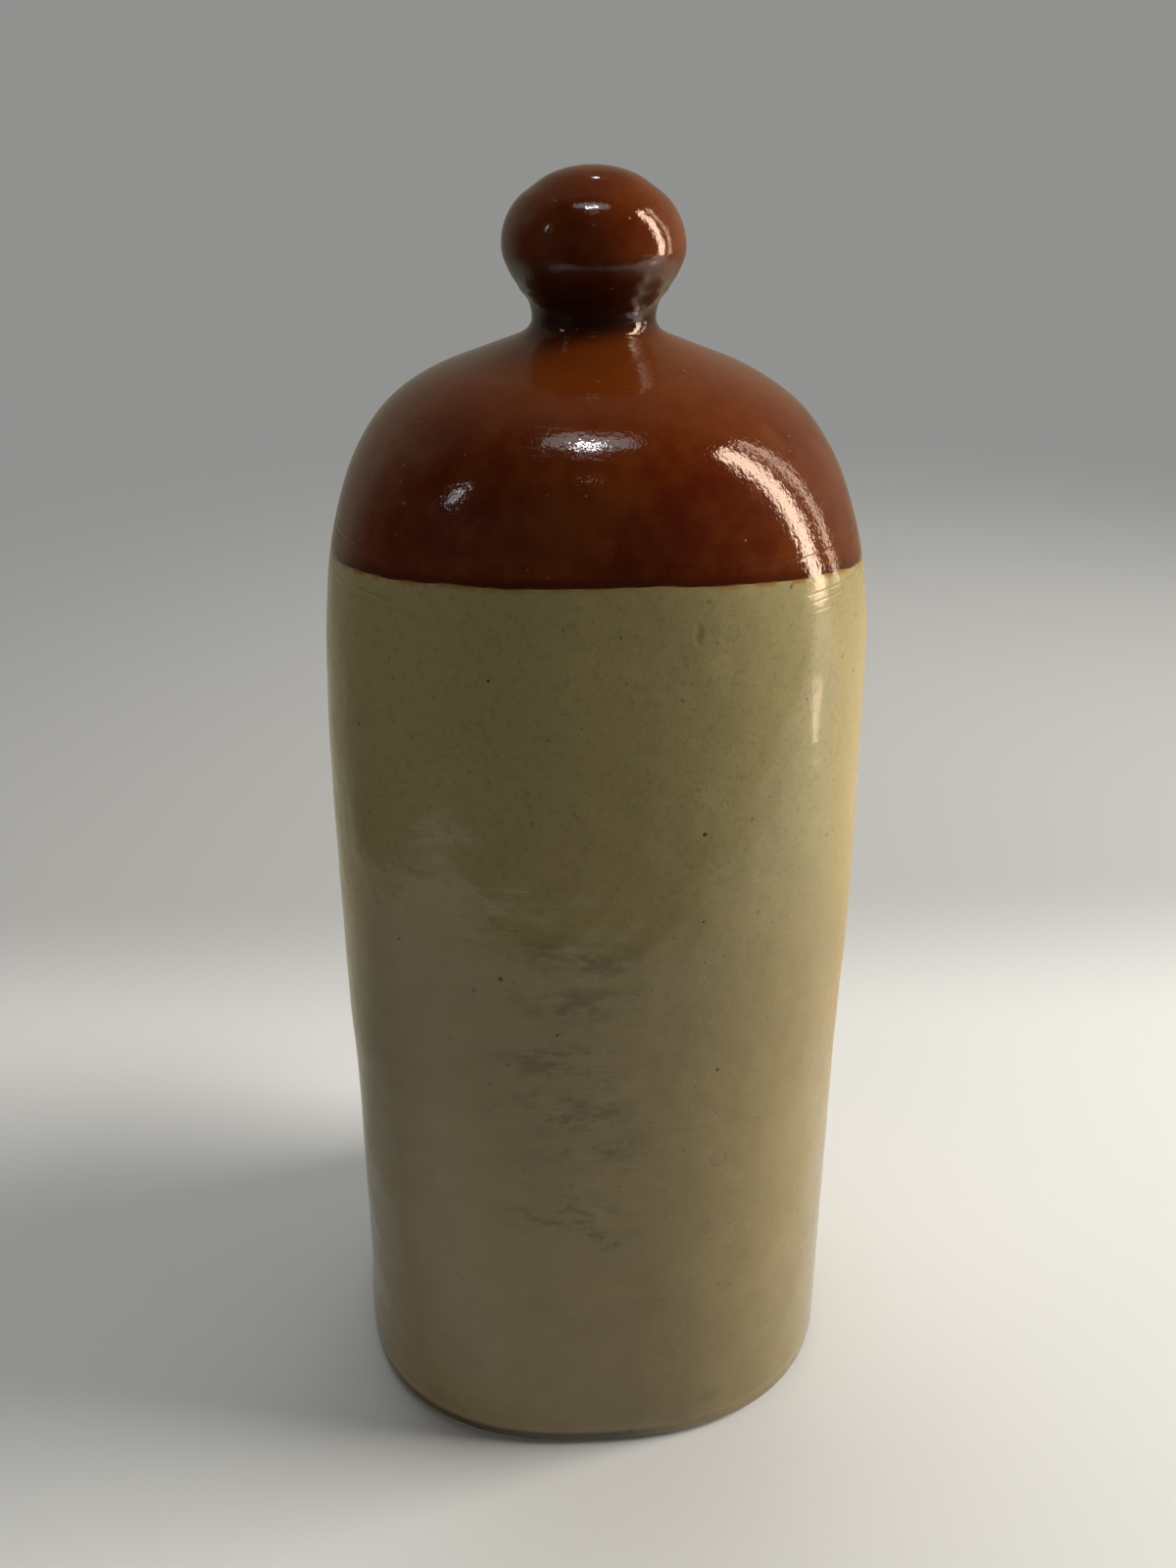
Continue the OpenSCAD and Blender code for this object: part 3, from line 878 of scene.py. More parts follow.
def foot_dirt_and_painted_shadow(glaze, up, side):
    """Dirt and painted shade under the foot, dirt in a chip, and a painted shadow line along the foot's
    front left.
    """
    chip = glaze.times(glaze.front_mark(*FOOT_CHIP), 0.8)
    # Darker under the foot: dirt and painted shade
    under = glaze.most(glaze.fall(up, *FOOT_DIRT_AND_SHADE, 0.6), chip)
    # Painted shadow: a dark band low on the foot's front left, standing in for the shadow under its rounded
    # edge
    line = glaze.times(glaze.fall(up, *PAINTED_SHADOW_LINE, 0.85), glaze.fall(side, *SHADOW_LINE_FADES_RIGHT))
    line = glaze.times(line, glaze.fall(glaze.place("Y"), *SHADOW_LINE_FADES_BACK))
    return glaze.most(under, line)


def cane_glaze_material(scene):
    """Clear glaze over cane stoneware: iron specks, turning lines, grey wear in front, painted light on its
    upper part, and a bare foot with a painted highlight and a painted shadow line.
    """
    colours = scene.bottle_colours
    glaze = Finish("fired_cane_glaze")
    up = glaze.place("Z")
    side = glaze.place("X")
    apart = glaze.calc("ABSOLUTE", side)
    glaze.base = glaze.pooled(colours.cane, colours.cane_deep, 16.0, 0.16)
    lines = glaze.spread("turning_lines", Lines=900.0, Waver=9.0)
    glaze.lay(colours.cane_deep, glaze.ramp(lines, 0.5, 0.75, 0.0, 0.35))
    # Painted light: the upper barrel made paler towards the shoulder
    glaze.lay(colours.cane_pale, glaze.ramp(up, *PAINTED_LIGHT_UP, 0.0, 0.8))
    glaze.lay(colours.cane_deep, glaze.ramp(glaze.grain(800.0, 3.0, 0.65), 0.48, 0.7, 0.0, 0.5))
    specks = iron_specks(glaze, side)
    glaze.lay(colours.iron, specks, 0.85)
    wear = grey_wear(glaze)
    glaze.lay(colours.cane_stain, wear, 0.75)
    ring, dent, crumbs = small_marks(glaze)
    marks = glaze.plus(glaze.plus(ring, dent), glaze.times(crumbs, 2.0))
    glaze.lay(colours.iron, glaze.times(marks, 0.2, clamp=True))
    # Dirt and painted shade round the filler's collar, in the iron colour
    glaze.lay(colours.iron, collar_dirt_and_shade(glaze, Filler(scene.bottle_filler)))
    scratches = glaze.scratches()
    glaze.lay(colours.cane_pale, scratches, 0.4)
    fringe = glaze.ragged_fringe(0.2 * MM, 1.0 * MM, 0.36, 0.56)
    glaze.lay(colours.ochre, glaze.times(fringe, glaze.ramp(apart, *FRINGE_GROWS, 0.3, 0.9)))
    turned = turned_lines(glaze, up, apart)
    glaze.lay(colours.cane_stain, turned, 0.25)
    bare = glaze.fall(up, *BARE_FOOT)
    clay = glaze.pooled(colours.bare_clay, colours.cane_deep, 60.0, 0.3)
    glaze.base = glaze.tint(bare, glaze.base, clay)
    # Painted highlight: a paler band along the foot's rim, in the bare clay's colour
    glaze.lay(colours.bare_clay, glaze.band(up, *PAINTED_RIM_HIGHLIGHT), 0.3)
    # Painted shadow and shade at the foot, with dirt and the chip, in the iron colour
    glaze.lay(colours.iron, foot_dirt_and_painted_shadow(glaze, up, side))
    rough = glaze.plus(glaze.dull(34.0, 0.07, 0.13), glaze.times(wear, 0.05))
    rough = glaze.plus(rough, glaze.times(scratches, 0.15))
    rough = glaze.plus(rough, glaze.times(bare, 0.55), clamp=True)
    glaze.fired(76.0, 1500.0, 0.05, 0.6 * MM)
    glaze.bump(lines, 0.02 * MM)
    glaze.bump(glaze.times(specks, -1.0), 0.06 * MM)
    pushed_in = glaze.plus(glaze.times(ring, 0.35), dent)
    glaze.bump(glaze.calc("SUBTRACT", crumbs, pushed_in), 0.09 * MM)
    glaze.bump(glaze.times(turned, -1.0), 0.09 * MM)
    return glaze.done(rough, CLEAR_GLAZE)


# Heights on the brown top: its thin crown, the pooled glaze and painted shade under the knob, and the
# knob's dull underside
CROWN_THINS = (236 * MM, 250 * MM)
CROWN_ENDS = (250 * MM, 256 * MM)
GROOVE_POOL_AND_SHADE = (250 * MM, 254 * MM, 258 * MM, 267 * MM)
DULL_UNDERSIDE = (255 * MM, 258 * MM, 263 * MM, 267 * MM)


def brown_glaze_material(scene):
    """Glossy dipped brown glaze, dark in its rolled edge, with pooled glaze and painted shade under the
    knob, and with light pin-pricks.
    """
    colours = scene.bottle_colours
    glaze = Finish("fired_brown_glaze")
    up = glaze.place("Z")
    glaze.base = glaze.pooled(colours.brown_thin, colours.brown, 22.0, 0.17)
    crown = glaze.times(glaze.ramp(up, *CROWN_THINS, 0.0, 0.8), glaze.ramp(up, *CROWN_ENDS, 1.0, 0.15))
    glaze.lay(colours.brown_thin, crown)
    # Painted shade under the knob, with pooled glaze
    glaze.lay(colours.brown_pool, glaze.band(up, *GROOVE_POOL_AND_SHADE), 0.95)
    glaze.lay(colours.brown_edge, glaze.fall(glaze.edge_distance(), 0.5 * MM, 2.4 * MM, 0.85))
    glaze.lay(colours.ochre, glaze.ragged_fringe(0.05 * MM, 0.3 * MM, 0.4, 0.6), 0.7)
    pricks = glaze.specks(330.0, 0.11, 0.6)
    glaze.lay(colours.ochre, pricks, 0.5)
    glaze.lay(colours.brown_edge, glaze.specks(160.0, 0.1, 0.2), 0.5)
    rough = glaze.plus(glaze.dull(40.0, 0.06, 0.11), glaze.times(glaze.scratches(), 0.14))
    rough = glaze.plus(rough, glaze.times(glaze.band(up, *DULL_UNDERSIDE), 0.13))
    glaze.fired(110.0, 1000.0, 0.4, 0.12 * MM)
    glaze.bump(glaze.times(pricks, -1.0), 0.05 * MM)
    return glaze.done(rough, BROWN_GLAZE)


# Reach of the dirt and painted shade round the root of the grip bar, and how far in from the head's rim it
# is rubbed pale
GRIP_DIRT_AND_SHADE = (26 * MM, 2.5 * MM, 13 * MM)
RUBBED_FROM = 2.4 * MM
RUBBED_FULL = 0.8 * MM


def stopper_clay_material(scene):
    """Cane stoneware with a thin satin glaze, dirt and painted shade round its grip, and rubbed on its rim.
    """
    colours = scene.bottle_colours
    filler = Filler(scene.bottle_filler)
    clay = Finish("fired_stopper_clay")
    clay.base = clay.pooled(colours.stopper, colours.cane_deep, 45.0, 0.24)
    clay.lay(colours.iron, clay.specks(230.0, 0.16, 0.25), 0.7)
    patchy = clay.grain(150.0, 4.0, 0.65)
    root = (0.0, filler.head_from + filler.head_thick, filler.axis_height)
    # Dirt and painted shade round the root of the grip bar, where it meets the head
    root_dirt_and_shade = clay.mark(root, GRIP_DIRT_AND_SHADE, 0.45)
    clay.lay(colours.iron, clay.times(root_dirt_and_shade, clay.ramp(patchy, 0.35, 0.62, 0.15, 0.55)))
    rim = (STOPPER_HIGH[0] - STOPPER_LOW[0]) / 2
    rubbed = clay.ramp(clay.filler_reach(filler), rim - RUBBED_FROM, rim - RUBBED_FULL)
    clay.lay(colours.bare_clay, clay.times(rubbed, clay.ramp(patchy, 0.4, 0.6, 0.2, 0.7)))
    clay.fired(260.0, 1800.0, 0.4, 0.12 * MM)
    return clay.done(clay.dull(90.0, 0.26, 0.42), CLEAR_GLAZE)


def red_rubber_material(scene):
    """Old red-brown rubber with a pale bloom."""
    colours = scene.bottle_colours
    rubber = Finish("aged_red_rubber")
    rubber.base = rubber.pooled(colours.rubber_bloom, colours.rubber, 70.0, 0.2)
    rubber.fired(700.0, 3200.0, 0.5, 0.08 * MM)
    return rubber.done(rubber.dull(160.0, 0.62, 0.8), RUBBER)


# Barrel

# Half width of the opening in the back's wall for the filler, and the rings from it to the collar
PATCH_HALF = 38.0 * MM
PATCH_RINGS = 7
# Fine turned guide lines on the cane and on the brown glaze: height, and share of their usual depth
CANE_SCRIBES = ((210.6 * MM, 0.35),)
BROWN_SCRIBES = ((219.9 * MM, 2.0), (221.4 * MM, 1.0))
# Steps round the foot's edge, and the barrel's level rows, finer near the turned lines: from, to and steps
FOOT_STEPS = 7
LEVEL_ROWS = ((6 * MM, 205 * MM, 67), (205.3 * MM, 208.3 * MM, 4), (208.5 * MM, 211.4 * MM, 22))
# Rows that lean from the last level one to the glaze's edge, as shares of the way
LEANING_ROWS = (0.35, 0.65, 0.85, 1.0)
# Level rows of the barrel's inside
INNER_ROWS = (6 * MM, 207 * MM, 67)
# Rows across the base, as shares of the way from its middle to its edge, with the share of its hollow there
BASE_ROWS = ((0.9, 0.0), (0.86, 0.6), (0.83, 1.0), (0.6, 1.0), (0.35, 1.0), (0.12, 1.0))
# Small roundings of the collar's inner end
BORE_EDGE = 0.5 * MM
SPIGOT_EDGE = 0.8 * MM
# Rows of the brown glaze's rolled edge, in millimetres above it, and heights where the dome's rows begin
ROLL_ROWS = (0.0, 0.05, 0.12, 0.22, 0.36, 0.55, 0.8)
DOME_FROM = 224 * MM
DOME_INSIDE_FROM = 219 * MM
QUARTERS = (0.25, 0.5, 0.75)


def barrel_heights(body):
    """Heights and insets of the barrel's level rows, up to where they start to lean to the glaze's edge."""
    rows = []
    for turn in span(0.0, QUARTER, FOOT_STEPS):
        rows.append((body.foot_round * (1 - math.cos(turn)), body.foot_round * (1 - math.sin(turn))))
    for low, high, steps in LEVEL_ROWS:
        rows += [(z, 0.0) for z in span(low, high, steps)]
    return rows


class BackPatch:
    """The part of the rows and columns that is left open in the back for the filler."""

    def __init__(self, body, filler, heights):
        middle = BODY_COLUMNS // 4
        reach = 0
        while body.section(TURN * (middle - reach) / BODY_COLUMNS, filler.axis_height).x < PATCH_HALF:
            reach += 1
        self.left = middle - reach
        self.right = middle + reach
        inside = [j for j, z in enumerate(heights) if abs(z - filler.axis_height) < PATCH_HALF]
        self.low = inside[0]
        self.high = inside[-1]

    def open_columns(self):
        return set(range(self.left, self.right))

    def border(self, rows):
        """The points round the open part, in order."""
        path = [rows[self.low][i] for i in range(self.left, self.right)]
        path += [rows[j][self.right] for j in range(self.low, self.high)]
        path += [rows[self.high][i] for i in range(self.right, self.left, -1)]
        path += [rows[j][self.left] for j in range(self.high, self.low, -1)]
        return path


def woven_wall(skin, rows, patch):
    """Joins the rows of a wall, apart from the patch in the back."""
    for j, (low, high) in enumerate(zip(rows, rows[1:])):
        skin.join(low, high, patch.open_columns() if patch.low <= j < patch.high else ())


def patch_rings(skin, body, filler, border, radius, inset):
    """Rings that lead from the open patch's border to a circle round the filler, on the back's surface."""
    turns = []
    for index in border:
        point = skin.points[index]
        turns.append(math.atan2(point.z - filler.axis_height, point.x))
    rings = [border]
    for k in range(1, PATCH_RINGS + 1):
        share = k / PATCH_RINGS
        points = []
        for index, turn in zip(border, turns):
            start = skin.points[index]
            goal = filler.place(turn, radius, 0.0)
            flat = body.back_point(mix(start.x, goal.x, share), mix(start.z, goal.z, share), inset)
            points.append(flat if inset else body.settled(flat))
        rings.append(skin.row(points))
    skin.join_all(rings)
    return turns, rings[-1]


def collar_rings(skin, body, filler, turns):
    """The collar from its lute fillet over the rim and down the threaded bore to its inner end."""

    def on_back(turn, radius):
        flat = filler.place(turn, radius, 0.0)
        return body.settled(body.back_point(flat.x, flat.z)).y

    rings = []
    lute = filler.lute_fillet
    for lift in span(0.0, QUARTER, 8)[1:]:
        radius = filler.collar + lute * (1 - math.sin(lift))
        over = lute * (1 - math.cos(lift))
        rings.append([filler.place(t, radius, on_back(t, radius) + over) for t in turns])
    wall_top = filler.rim_out - filler.rim_round
    starts = [on_back(t, filler.collar) + lute for t in turns]
    for share in span(0.0, 1.0, 5)[1:]:
        outs = [mix(start, wall_top, share) for start in starts]
        rings.append([filler.place(t, filler.collar, out) for t, out in zip(turns, outs)])
    flat_from = filler.collar - filler.rim_round
    for radius, out in arc(flat_from, wall_top, filler.rim_round, 0.0, QUARTER, 8)[1:]:
        rings.append(filler.ring(turns, radius, out))
    mouth = filler.bore_round
    rings.append(filler.ring(turns, mix(flat_from, filler.bore + mouth, 0.5), filler.rim_out))
    for radius, out in arc(filler.bore + mouth, filler.rim_out - mouth, mouth, QUARTER, 2 * QUARTER, 6):
        rings.append(filler.ring(turns, radius, out))
    end = filler.inner_end
    for out in span(filler.rim_out - mouth, end + BORE_EDGE, 68)[1:]:
        rings.append([filler.place(t, filler.bore_radius(t, out), out) for t in turns])
    rings.append(filler.ring(turns, filler.bore + BORE_EDGE, end))
    rings.append(filler.ring(turns, filler.spigot - SPIGOT_EDGE, end))
    rings.append(filler.ring(turns, filler.spigot, end + SPIGOT_EDGE))
    return [skin.row(points) for points in rings]


def base_rows(skin, body, inset, z, hollow):
    """Rows across the base or the floor, from its edge to its middle."""
    edge = [body.section(a, 0.0, inset) for a in body_angles()]
    rows = []
    for share, depth in BASE_ROWS:
        rows.append(skin.row([Vector((p.x * share, p.y * share, z + hollow * depth)) for p in edge]))
    skin.join_all(rows)
    skin.close(rows[-1])
    return rows[0]


def build_barrel(body, filler, material):
    skin = Skin()
    angles = body_angles()
    dips = [body.dip(a) for a in angles]
    levels = barrel_heights(body)
    rows = []
    for z, inset in levels:
        points = [body.outside(a, z, -inset - body.scribed(a, z, CANE_SCRIBES)) for a in angles]
        rows.append(skin.row(points, [d - z for d in dips]))
    top = levels[-1][0]
    for share in LEANING_ROWS:
        marks = [(d - top) * (1 - share) for d in dips]
        rows.append(skin.row([body.outside(a, mix(top, d, share)) for a, d in zip(angles, dips)], marks))
    patch = BackPatch(body, filler, [z for z, inset in levels])
    woven_wall(skin, rows, patch)
    under = base_rows(skin, body, body.foot_round, 0.0, body.base_hollow)
    skin.join(under, rows[0])
    heights = [body.base_thick]
    heights += [z for z in span(*INNER_ROWS) if z > body.base_thick - MM / 2]
    inner = [skin.row([body.section(a, z, body.wall) for a in angles]) for z in heights]
    inner.append(skin.row([body.section(a, d, body.wall) for a, d in zip(angles, dips)]))
    inner_patch = BackPatch(body, filler, heights)
    woven_wall(skin, inner, inner_patch)
    floor = base_rows(skin, body, body.wall, body.base_thick, 0.0)
    skin.join(floor, inner[0])
    skin.join(rows[-1], inner[-1])
    lute = filler.collar + filler.lute_fillet
    turns, outer_ring = patch_rings(skin, body, filler, patch.border(rows), lute, 0.0)
    collar = collar_rings(skin, body, filler, turns)
    skin.join(outer_ring, collar[0])
    skin.join_all(collar)
    inner_border = inner_patch.border(inner)
    inner_ring = patch_rings(skin, body, filler, inner_border, filler.spigot, body.wall)[1]
    skin.join(collar[-1], inner_ring)
    return skin.piece("glazed_barrel", material, CRISP_PIECE)


def build_shoulder(body, material):
    skin = Skin()
    angles = body_angles()
    dips = [body.dip(a) for a in angles]
    rows = []

    def add(heights):
        """Adds a row on the outside at the heights given for each angle."""
        points = []
        for a, z, d in zip(angles, heights, dips):
            proud = body.glaze_roll(z - d) - body.scribed(a, z, BROWN_SCRIBES) * rise(z - d, 0.0, MM)
            points.append(body.outside(a, z, proud))
        rows.append(skin.row(points, [z - d for z, d in zip(heights, dips)]))

    for above in ROLL_ROWS:
        add([d + above * MM for d in dips])
    for share in span(0.0, 1.0, 30)[1:]:
        add([mix(d + ROLL_ROWS[-1] * MM, DOME_FROM, share) for d in dips])
    for turn in span(0.0, QUARTER, 34)[1:]:
        add([mix(DOME_FROM, body.knob_seat, math.sin(turn))] * BODY_COLUMNS)
    outline = body.knob_outline()
    first, second = outline[0], outline[1]
    outline[1:1] = [(mix(first[0], second[0], s), mix(first[1], second[1], s)) for s in QUARTERS]
    for radius, z in outline[1:]:
        rows.append(skin.row([body.knob_point(a, radius, z) for a in angles]))
    skin.join_all(rows)
    skin.close(rows[-1])
    inner = [skin.row([body.section(a, d, body.wall) for a, d in zip(angles, dips)])]
    for turn in span(0.0, QUARTER, 16)[1:]:
        z = mix(DOME_INSIDE_FROM, body.chamber_top, math.sin(turn))
        inner.append(skin.row([body.section(a, z, body.chamber_inset(z)) for a in angles]))
    skin.join_all(inner)
    skin.close(inner[-1])
    skin.join(rows[0], inner[0])
    return skin.piece("brown_shoulder", material, ROUNDED_PIECE)


# Stopper and washer

# Roundings of the hollow's end and of its mouth, and the small edge under the head
HOLLOW_ROUND = 1.5 * MM
HOLLOW_MOUTH = 1.0 * MM
HEAD_EDGE = 0.4 * MM
# Squareness of the grip bar seen from above, and half width of the flat along its top
BAR_SQUARE = 3.4
BAR_FLAT = 1.2 * MM


def stopper_turns():
    return [TURN * i / STOPPER_COLUMNS for i in range(STOPPER_COLUMNS)]


def build_stopper(filler, material):
    skin = Skin()
    turns = stopper_turns()
    rings = []

    def round_rings(outline):
        for radius, out in outline:
            rings.append(skin.row(filler.ring(turns, radius, out)))

    hollow = filler.hollow_width / 2
    hollow_top = filler.tip + filler.hollow_depth
    bend_from = hollow - HOLLOW_ROUND
    bend_out = hollow_top - HOLLOW_ROUND
    mouth_out = filler.tip + HOLLOW_MOUTH
    round_rings([(radius, hollow_top) for radius in (0.25 * hollow, 0.6 * hollow, bend_from)])
    round_rings(arc(bend_from, bend_out, HOLLOW_ROUND, QUARTER, 0.0, 5)[1:])
    round_rings([(hollow, out) for out in span(bend_out, mouth_out, 5)[1:]])
    round_rings(arc(hollow + HOLLOW_MOUTH, mouth_out, HOLLOW_MOUTH, 2 * QUARTER, 3 * QUARTER, 4)[1:])
    tip = filler.tip_round
    round_rings(arc(filler.core - tip, filler.tip + tip, tip, -QUARTER, 0.0, 7))
    for out in span(filler.tip + tip, filler.rim_out, 72)[1:]:
        rings.append(skin.row([filler.place(t, filler.plug_radius(t, out), out) for t in turns]))
    under = filler.head_from
    round_rings([(filler.core, under - HEAD_EDGE), (filler.core + HEAD_EDGE, under)])
    head = filler.head_width / 2
    bend = filler.head_round
    head_top = under + filler.head_thick
    round_rings(arc(head - bend, under + bend, bend, -QUARTER, 0.0, 7))
    round_rings(arc(head - bend, head_top - bend, bend, 0.0, QUARTER, 8))
    half_long = filler.grip_length / 2 - filler.grip_fillet
    half_wide = filler.grip_width / 2

    def bar_ring(grow, out, share=1.0):
        """Adds a ring of the grip bar's outline, grown by a width, or a share of the way out to it."""
        points = []
        for t in turns:
            bar = squared_radius(t, half_long + grow, half_wide + grow, BAR_SQUARE)
            points.append(filler.place(t, mix(head - bend, bar, share), out))
        rings.append(skin.row(points))

    fillet = filler.grip_fillet
    for share in (0.3, 0.65):
        bar_ring(fillet, head_top, share)
    for lift in span(0.0, QUARTER, 7):
        bar_ring(fillet * (1 - math.sin(lift)), head_top + fillet * (1 - math.cos(lift)))
    crown = half_wide - BAR_FLAT
    crown_from = filler.grip_top - crown
    for lift in span(0.0, QUARTER, 10):
        bar_ring(-crown * (1 - math.cos(lift)), crown_from + crown * math.sin(lift))
    skin.join_all(rings)
    skin.close(rings[0])
    skin.close(rings[-1])
    return skin.piece("screw_stopper_plug", material, ROUNDED_PIECE)


def build_washer(filler, material):
    skin = Skin()
    turns = stopper_turns()
    low, high = WASHER_LOW[1], WASHER_HIGH[1]
    outer = (WASHER_HIGH[0] - WASHER_LOW[0]) / 2
    inner = filler.core + filler.washer_gap
    bend = filler.washer_round
    outline = arc(outer - bend, low + bend, bend, -QUARTER, 0.0, 5)
    outline += arc(outer - bend, high - bend, bend, 0.0, QUARTER, 5)
    outline += [(mix(outer - bend, inner + bend, share), high) for share in QUARTERS]
    outline += arc(inner + bend, high - bend, bend, QUARTER, 2 * QUARTER, 5)
    outline += arc(inner + bend, low + bend, bend, 2 * QUARTER, 3 * QUARTER, 5)
    outline += [(mix(inner + bend, outer - bend, share), low) for share in QUARTERS]
    rings = [skin.row(filler.ring(turns, radius, out)) for radius, out in outline]
    skin.join_all(rings)
    skin.join(rings[-1], rings[0])
    return skin.piece("rubber_washer", material, CRISP_PIECE)


# Stage

CAMERA_AT = (-12.4 * MM, -228.3 * MM, 284.25 * MM)
CAMERA_PITCH = math.radians(60.85)
CAMERA_HEADING = math.radians(-2.84)
CAMERA_LENS = 27.11
CAMERA_SENSOR = 36.0
CAMERA_NEAR = 0.01
FLOOR_HALF = 6.0

WARM = (1.0, 0.74, 0.54)
NEUTRAL = (1.0, 0.96, 0.90)
COOL = (0.92, 0.96, 1.0)
# Places that the lamps are aimed at
BARREL_MIDDLE = (0.0, 0.0, 0.14)
SPRINGING = (0.0, 0.0, 0.22)
DOME = (0.0, 0.0, 0.24)
KNOB = (0.0, 0.0, 0.26)
OVER_FOOT_LAMP = (0.53, -0.07, 1.0)
# Lamps that light the bottle and don't show in its gloss: name, place, aim, width, height, watts and colour
SOFT_LAMPS = (
    ("side_soft", (1.33, 0.04, 0.84), BARREL_MIDDLE, 0.60, 0.90, 34.0, NEUTRAL),
    ("top_soft", (-0.1, 0.60, 1.50), BARREL_MIDDLE, 1.20, 1.00, 10.0, COOL),
    ("front_soft", (-0.8, -1.15, 0.60), BARREL_MIDDLE, 1.20, 0.70, 4.0, NEUTRAL),
)
# Lamps that only show in the gloss
GLOSS_LAMPS = (
    ("window_wide", (0.845, -0.05, 0.56), SPRINGING, 0.15, 1.00, 7.0, WARM),
    ("window_narrow", (0.80, 0.185, 0.52), SPRINGING, 0.06, 0.90, 1.0, WARM),
    ("window_foot", (0.53, -0.07, 0.01), OVER_FOOT_LAMP, 0.16, 0.05, 0.15, WARM),
    ("ceiling_front", (-0.03, -0.29, 1.45), DOME, 0.17, 0.03, 1.6, COOL),
    ("ceiling_halo", (-0.03, -0.20, 1.45), DOME, 0.60, 0.22, 0.75, COOL),
    ("ceiling_line", (-0.03, -0.47, 1.42), DOME, 0.24, 0.015, 0.05, COOL),
    ("ceiling_near", (-0.04, -0.85, 1.15), KNOB, 0.06, 0.03, 0.02, COOL),
    ("ceiling_left", (-1.00, -0.42, 0.92), DOME, 0.02, 0.26, 0.32, COOL),
    ("ceiling_back", (0.08, 0.75, 1.40), KNOB, 0.08, 0.05, 0.4, COOL),
)


def area_lamp(name, at, towards, wide, high, watts, shade, in_gloss):
    """A soft lamp that either shows in the gloss or lights the bottle."""
    lamp = bpy.data.lights.new(name, "AREA")
    lamp.shape = "RECTANGLE"
    lamp.size = wide
    lamp.size_y = high
    lamp.energy = watts
    lamp.color = shade
    made = placed(name, lamp)
    made.location = at
    made.rotation_euler = (Vector(towards) - Vector(at)).to_track_quat("-Z", "Y").to_euler()
    made.visible_diffuse = not in_gloss
    made.visible_glossy = in_gloss
    made.visible_camera = False


def stage_sheet(name, corners, material):
    """A flat piece of the stage with four corners."""
    mesh = bpy.data.meshes.new(name)
    mesh.from_pydata(corners, [], [(0, 1, 2, 3)])
    mesh.materials.append(material)
    made = placed(name, mesh)
    return made


WALL_GREY = (0.285, 0.287, 0.28, 1.0)
# The wall as it shows in the glaze, behind and to the left of the bottle, and on its lit right
WALL_GLOW = (0.70, 0.67, 0.52, 1.0)
WALL_GLOW_LIT = (1.00, 0.78, 0.56, 1.0)
# What the floor throws back from well in front of the bottle
DIM_BOUNCE = (0.02, 0.02, 0.02, 1.0)
# Places on the floor, in metres along X or Y, between which its look changes
FLOOR_GREYS = (0.09, 0.19)
BOUNCE_BRIGHTENS = (0.02, 0.14)
BOUNCE_STARTS = (-0.3, -0.24)
GLOW_WARMS = (-0.1, 0.2)
GLOW_STARTS = (0.0, 0.1)
WALL_MIRRORED = (0.0, 0.3)
# Distances from the bottle between which the floor runs into the background
FLOOR_ENDS = (0.3, 1.1)


def floor_material(colours):
    """Pale matt board, which goes greyer behind the bottle and runs into the background."""
    board = Finish("pale_floor")
    cloud = board.grain(5.0, 3.0, 0.5)
    side = board.place("X")
    back = board.place("Y")
    path = board.add("ShaderNodeLightPath").outputs
    seen = board.tint(board.ramp(back, *FLOOR_GREYS), rgba(colours.floor), rgba(colours.floor_behind))
    seen = board.tint(board.ramp(cloud, 0.35, 0.65, 0.0, 0.05), seen, rgba(colours.floor_behind))
    glow = board.tint(board.ramp(side, *GLOW_WARMS), WALL_GLOW, WALL_GLOW_LIT)
    warmed = board.tint(board.ramp(back, *GLOW_STARTS), rgba(colours.floor_mirrored), glow, "MULTIPLY")
    seen = board.tint(path["Is Glossy Ray"], seen, warmed)
    lit_side = board.ramp(side, *BOUNCE_BRIGHTENS)
    near = board.tint(lit_side, rgba(colours.floor_bounce), rgba(colours.floor_lit))
    thrown = board.tint(board.ramp(back, *BOUNCE_STARTS), DIM_BOUNCE, near)
    board.base = board.tint(board.most(path["Is Camera Ray"], path["Is Glossy Ray"]), thrown, seen)
    mirrored = board.times(path["Is Glossy Ray"], board.ramp(back, *WALL_MIRRORED))
    shown = board.most(path["Is Camera Ray"], mirrored)
    share = board.times(board.ramp(board.size(board.position), *FLOOR_ENDS), shown)
    glowing = board.tint(1.0, WALL_GREY, glow, "MULTIPLY")
    backdrop = board.tint(path["Is Camera Ray"], glowing, WALL_GREY)
    plain = board.add("ShaderNodeEmission", None, {"Color": backdrop, "Strength": 1.0})
    sockets = {0: share, 1: board.shader.outputs[0], 2: plain.outputs[0]}
    both = board.add("ShaderNodeMixShader", None, sockets)
    board.fill(board.output, {"Surface": both.outputs[0]})
    board.fill(board.shader, {"Specular IOR Level": 0.0})
    return board.done(board.ramp(cloud, 0.3, 0.7, 0.55, 0.65), BOARD)


def build_floor(colours):
    corners = [(x * FLOOR_HALF, y * FLOOR_HALF, 0.0) for x, y in ((-1, -1), (1, -1), (1, 1), (-1, 1))]
    stage_sheet("floor", corners, floor_material(colours))


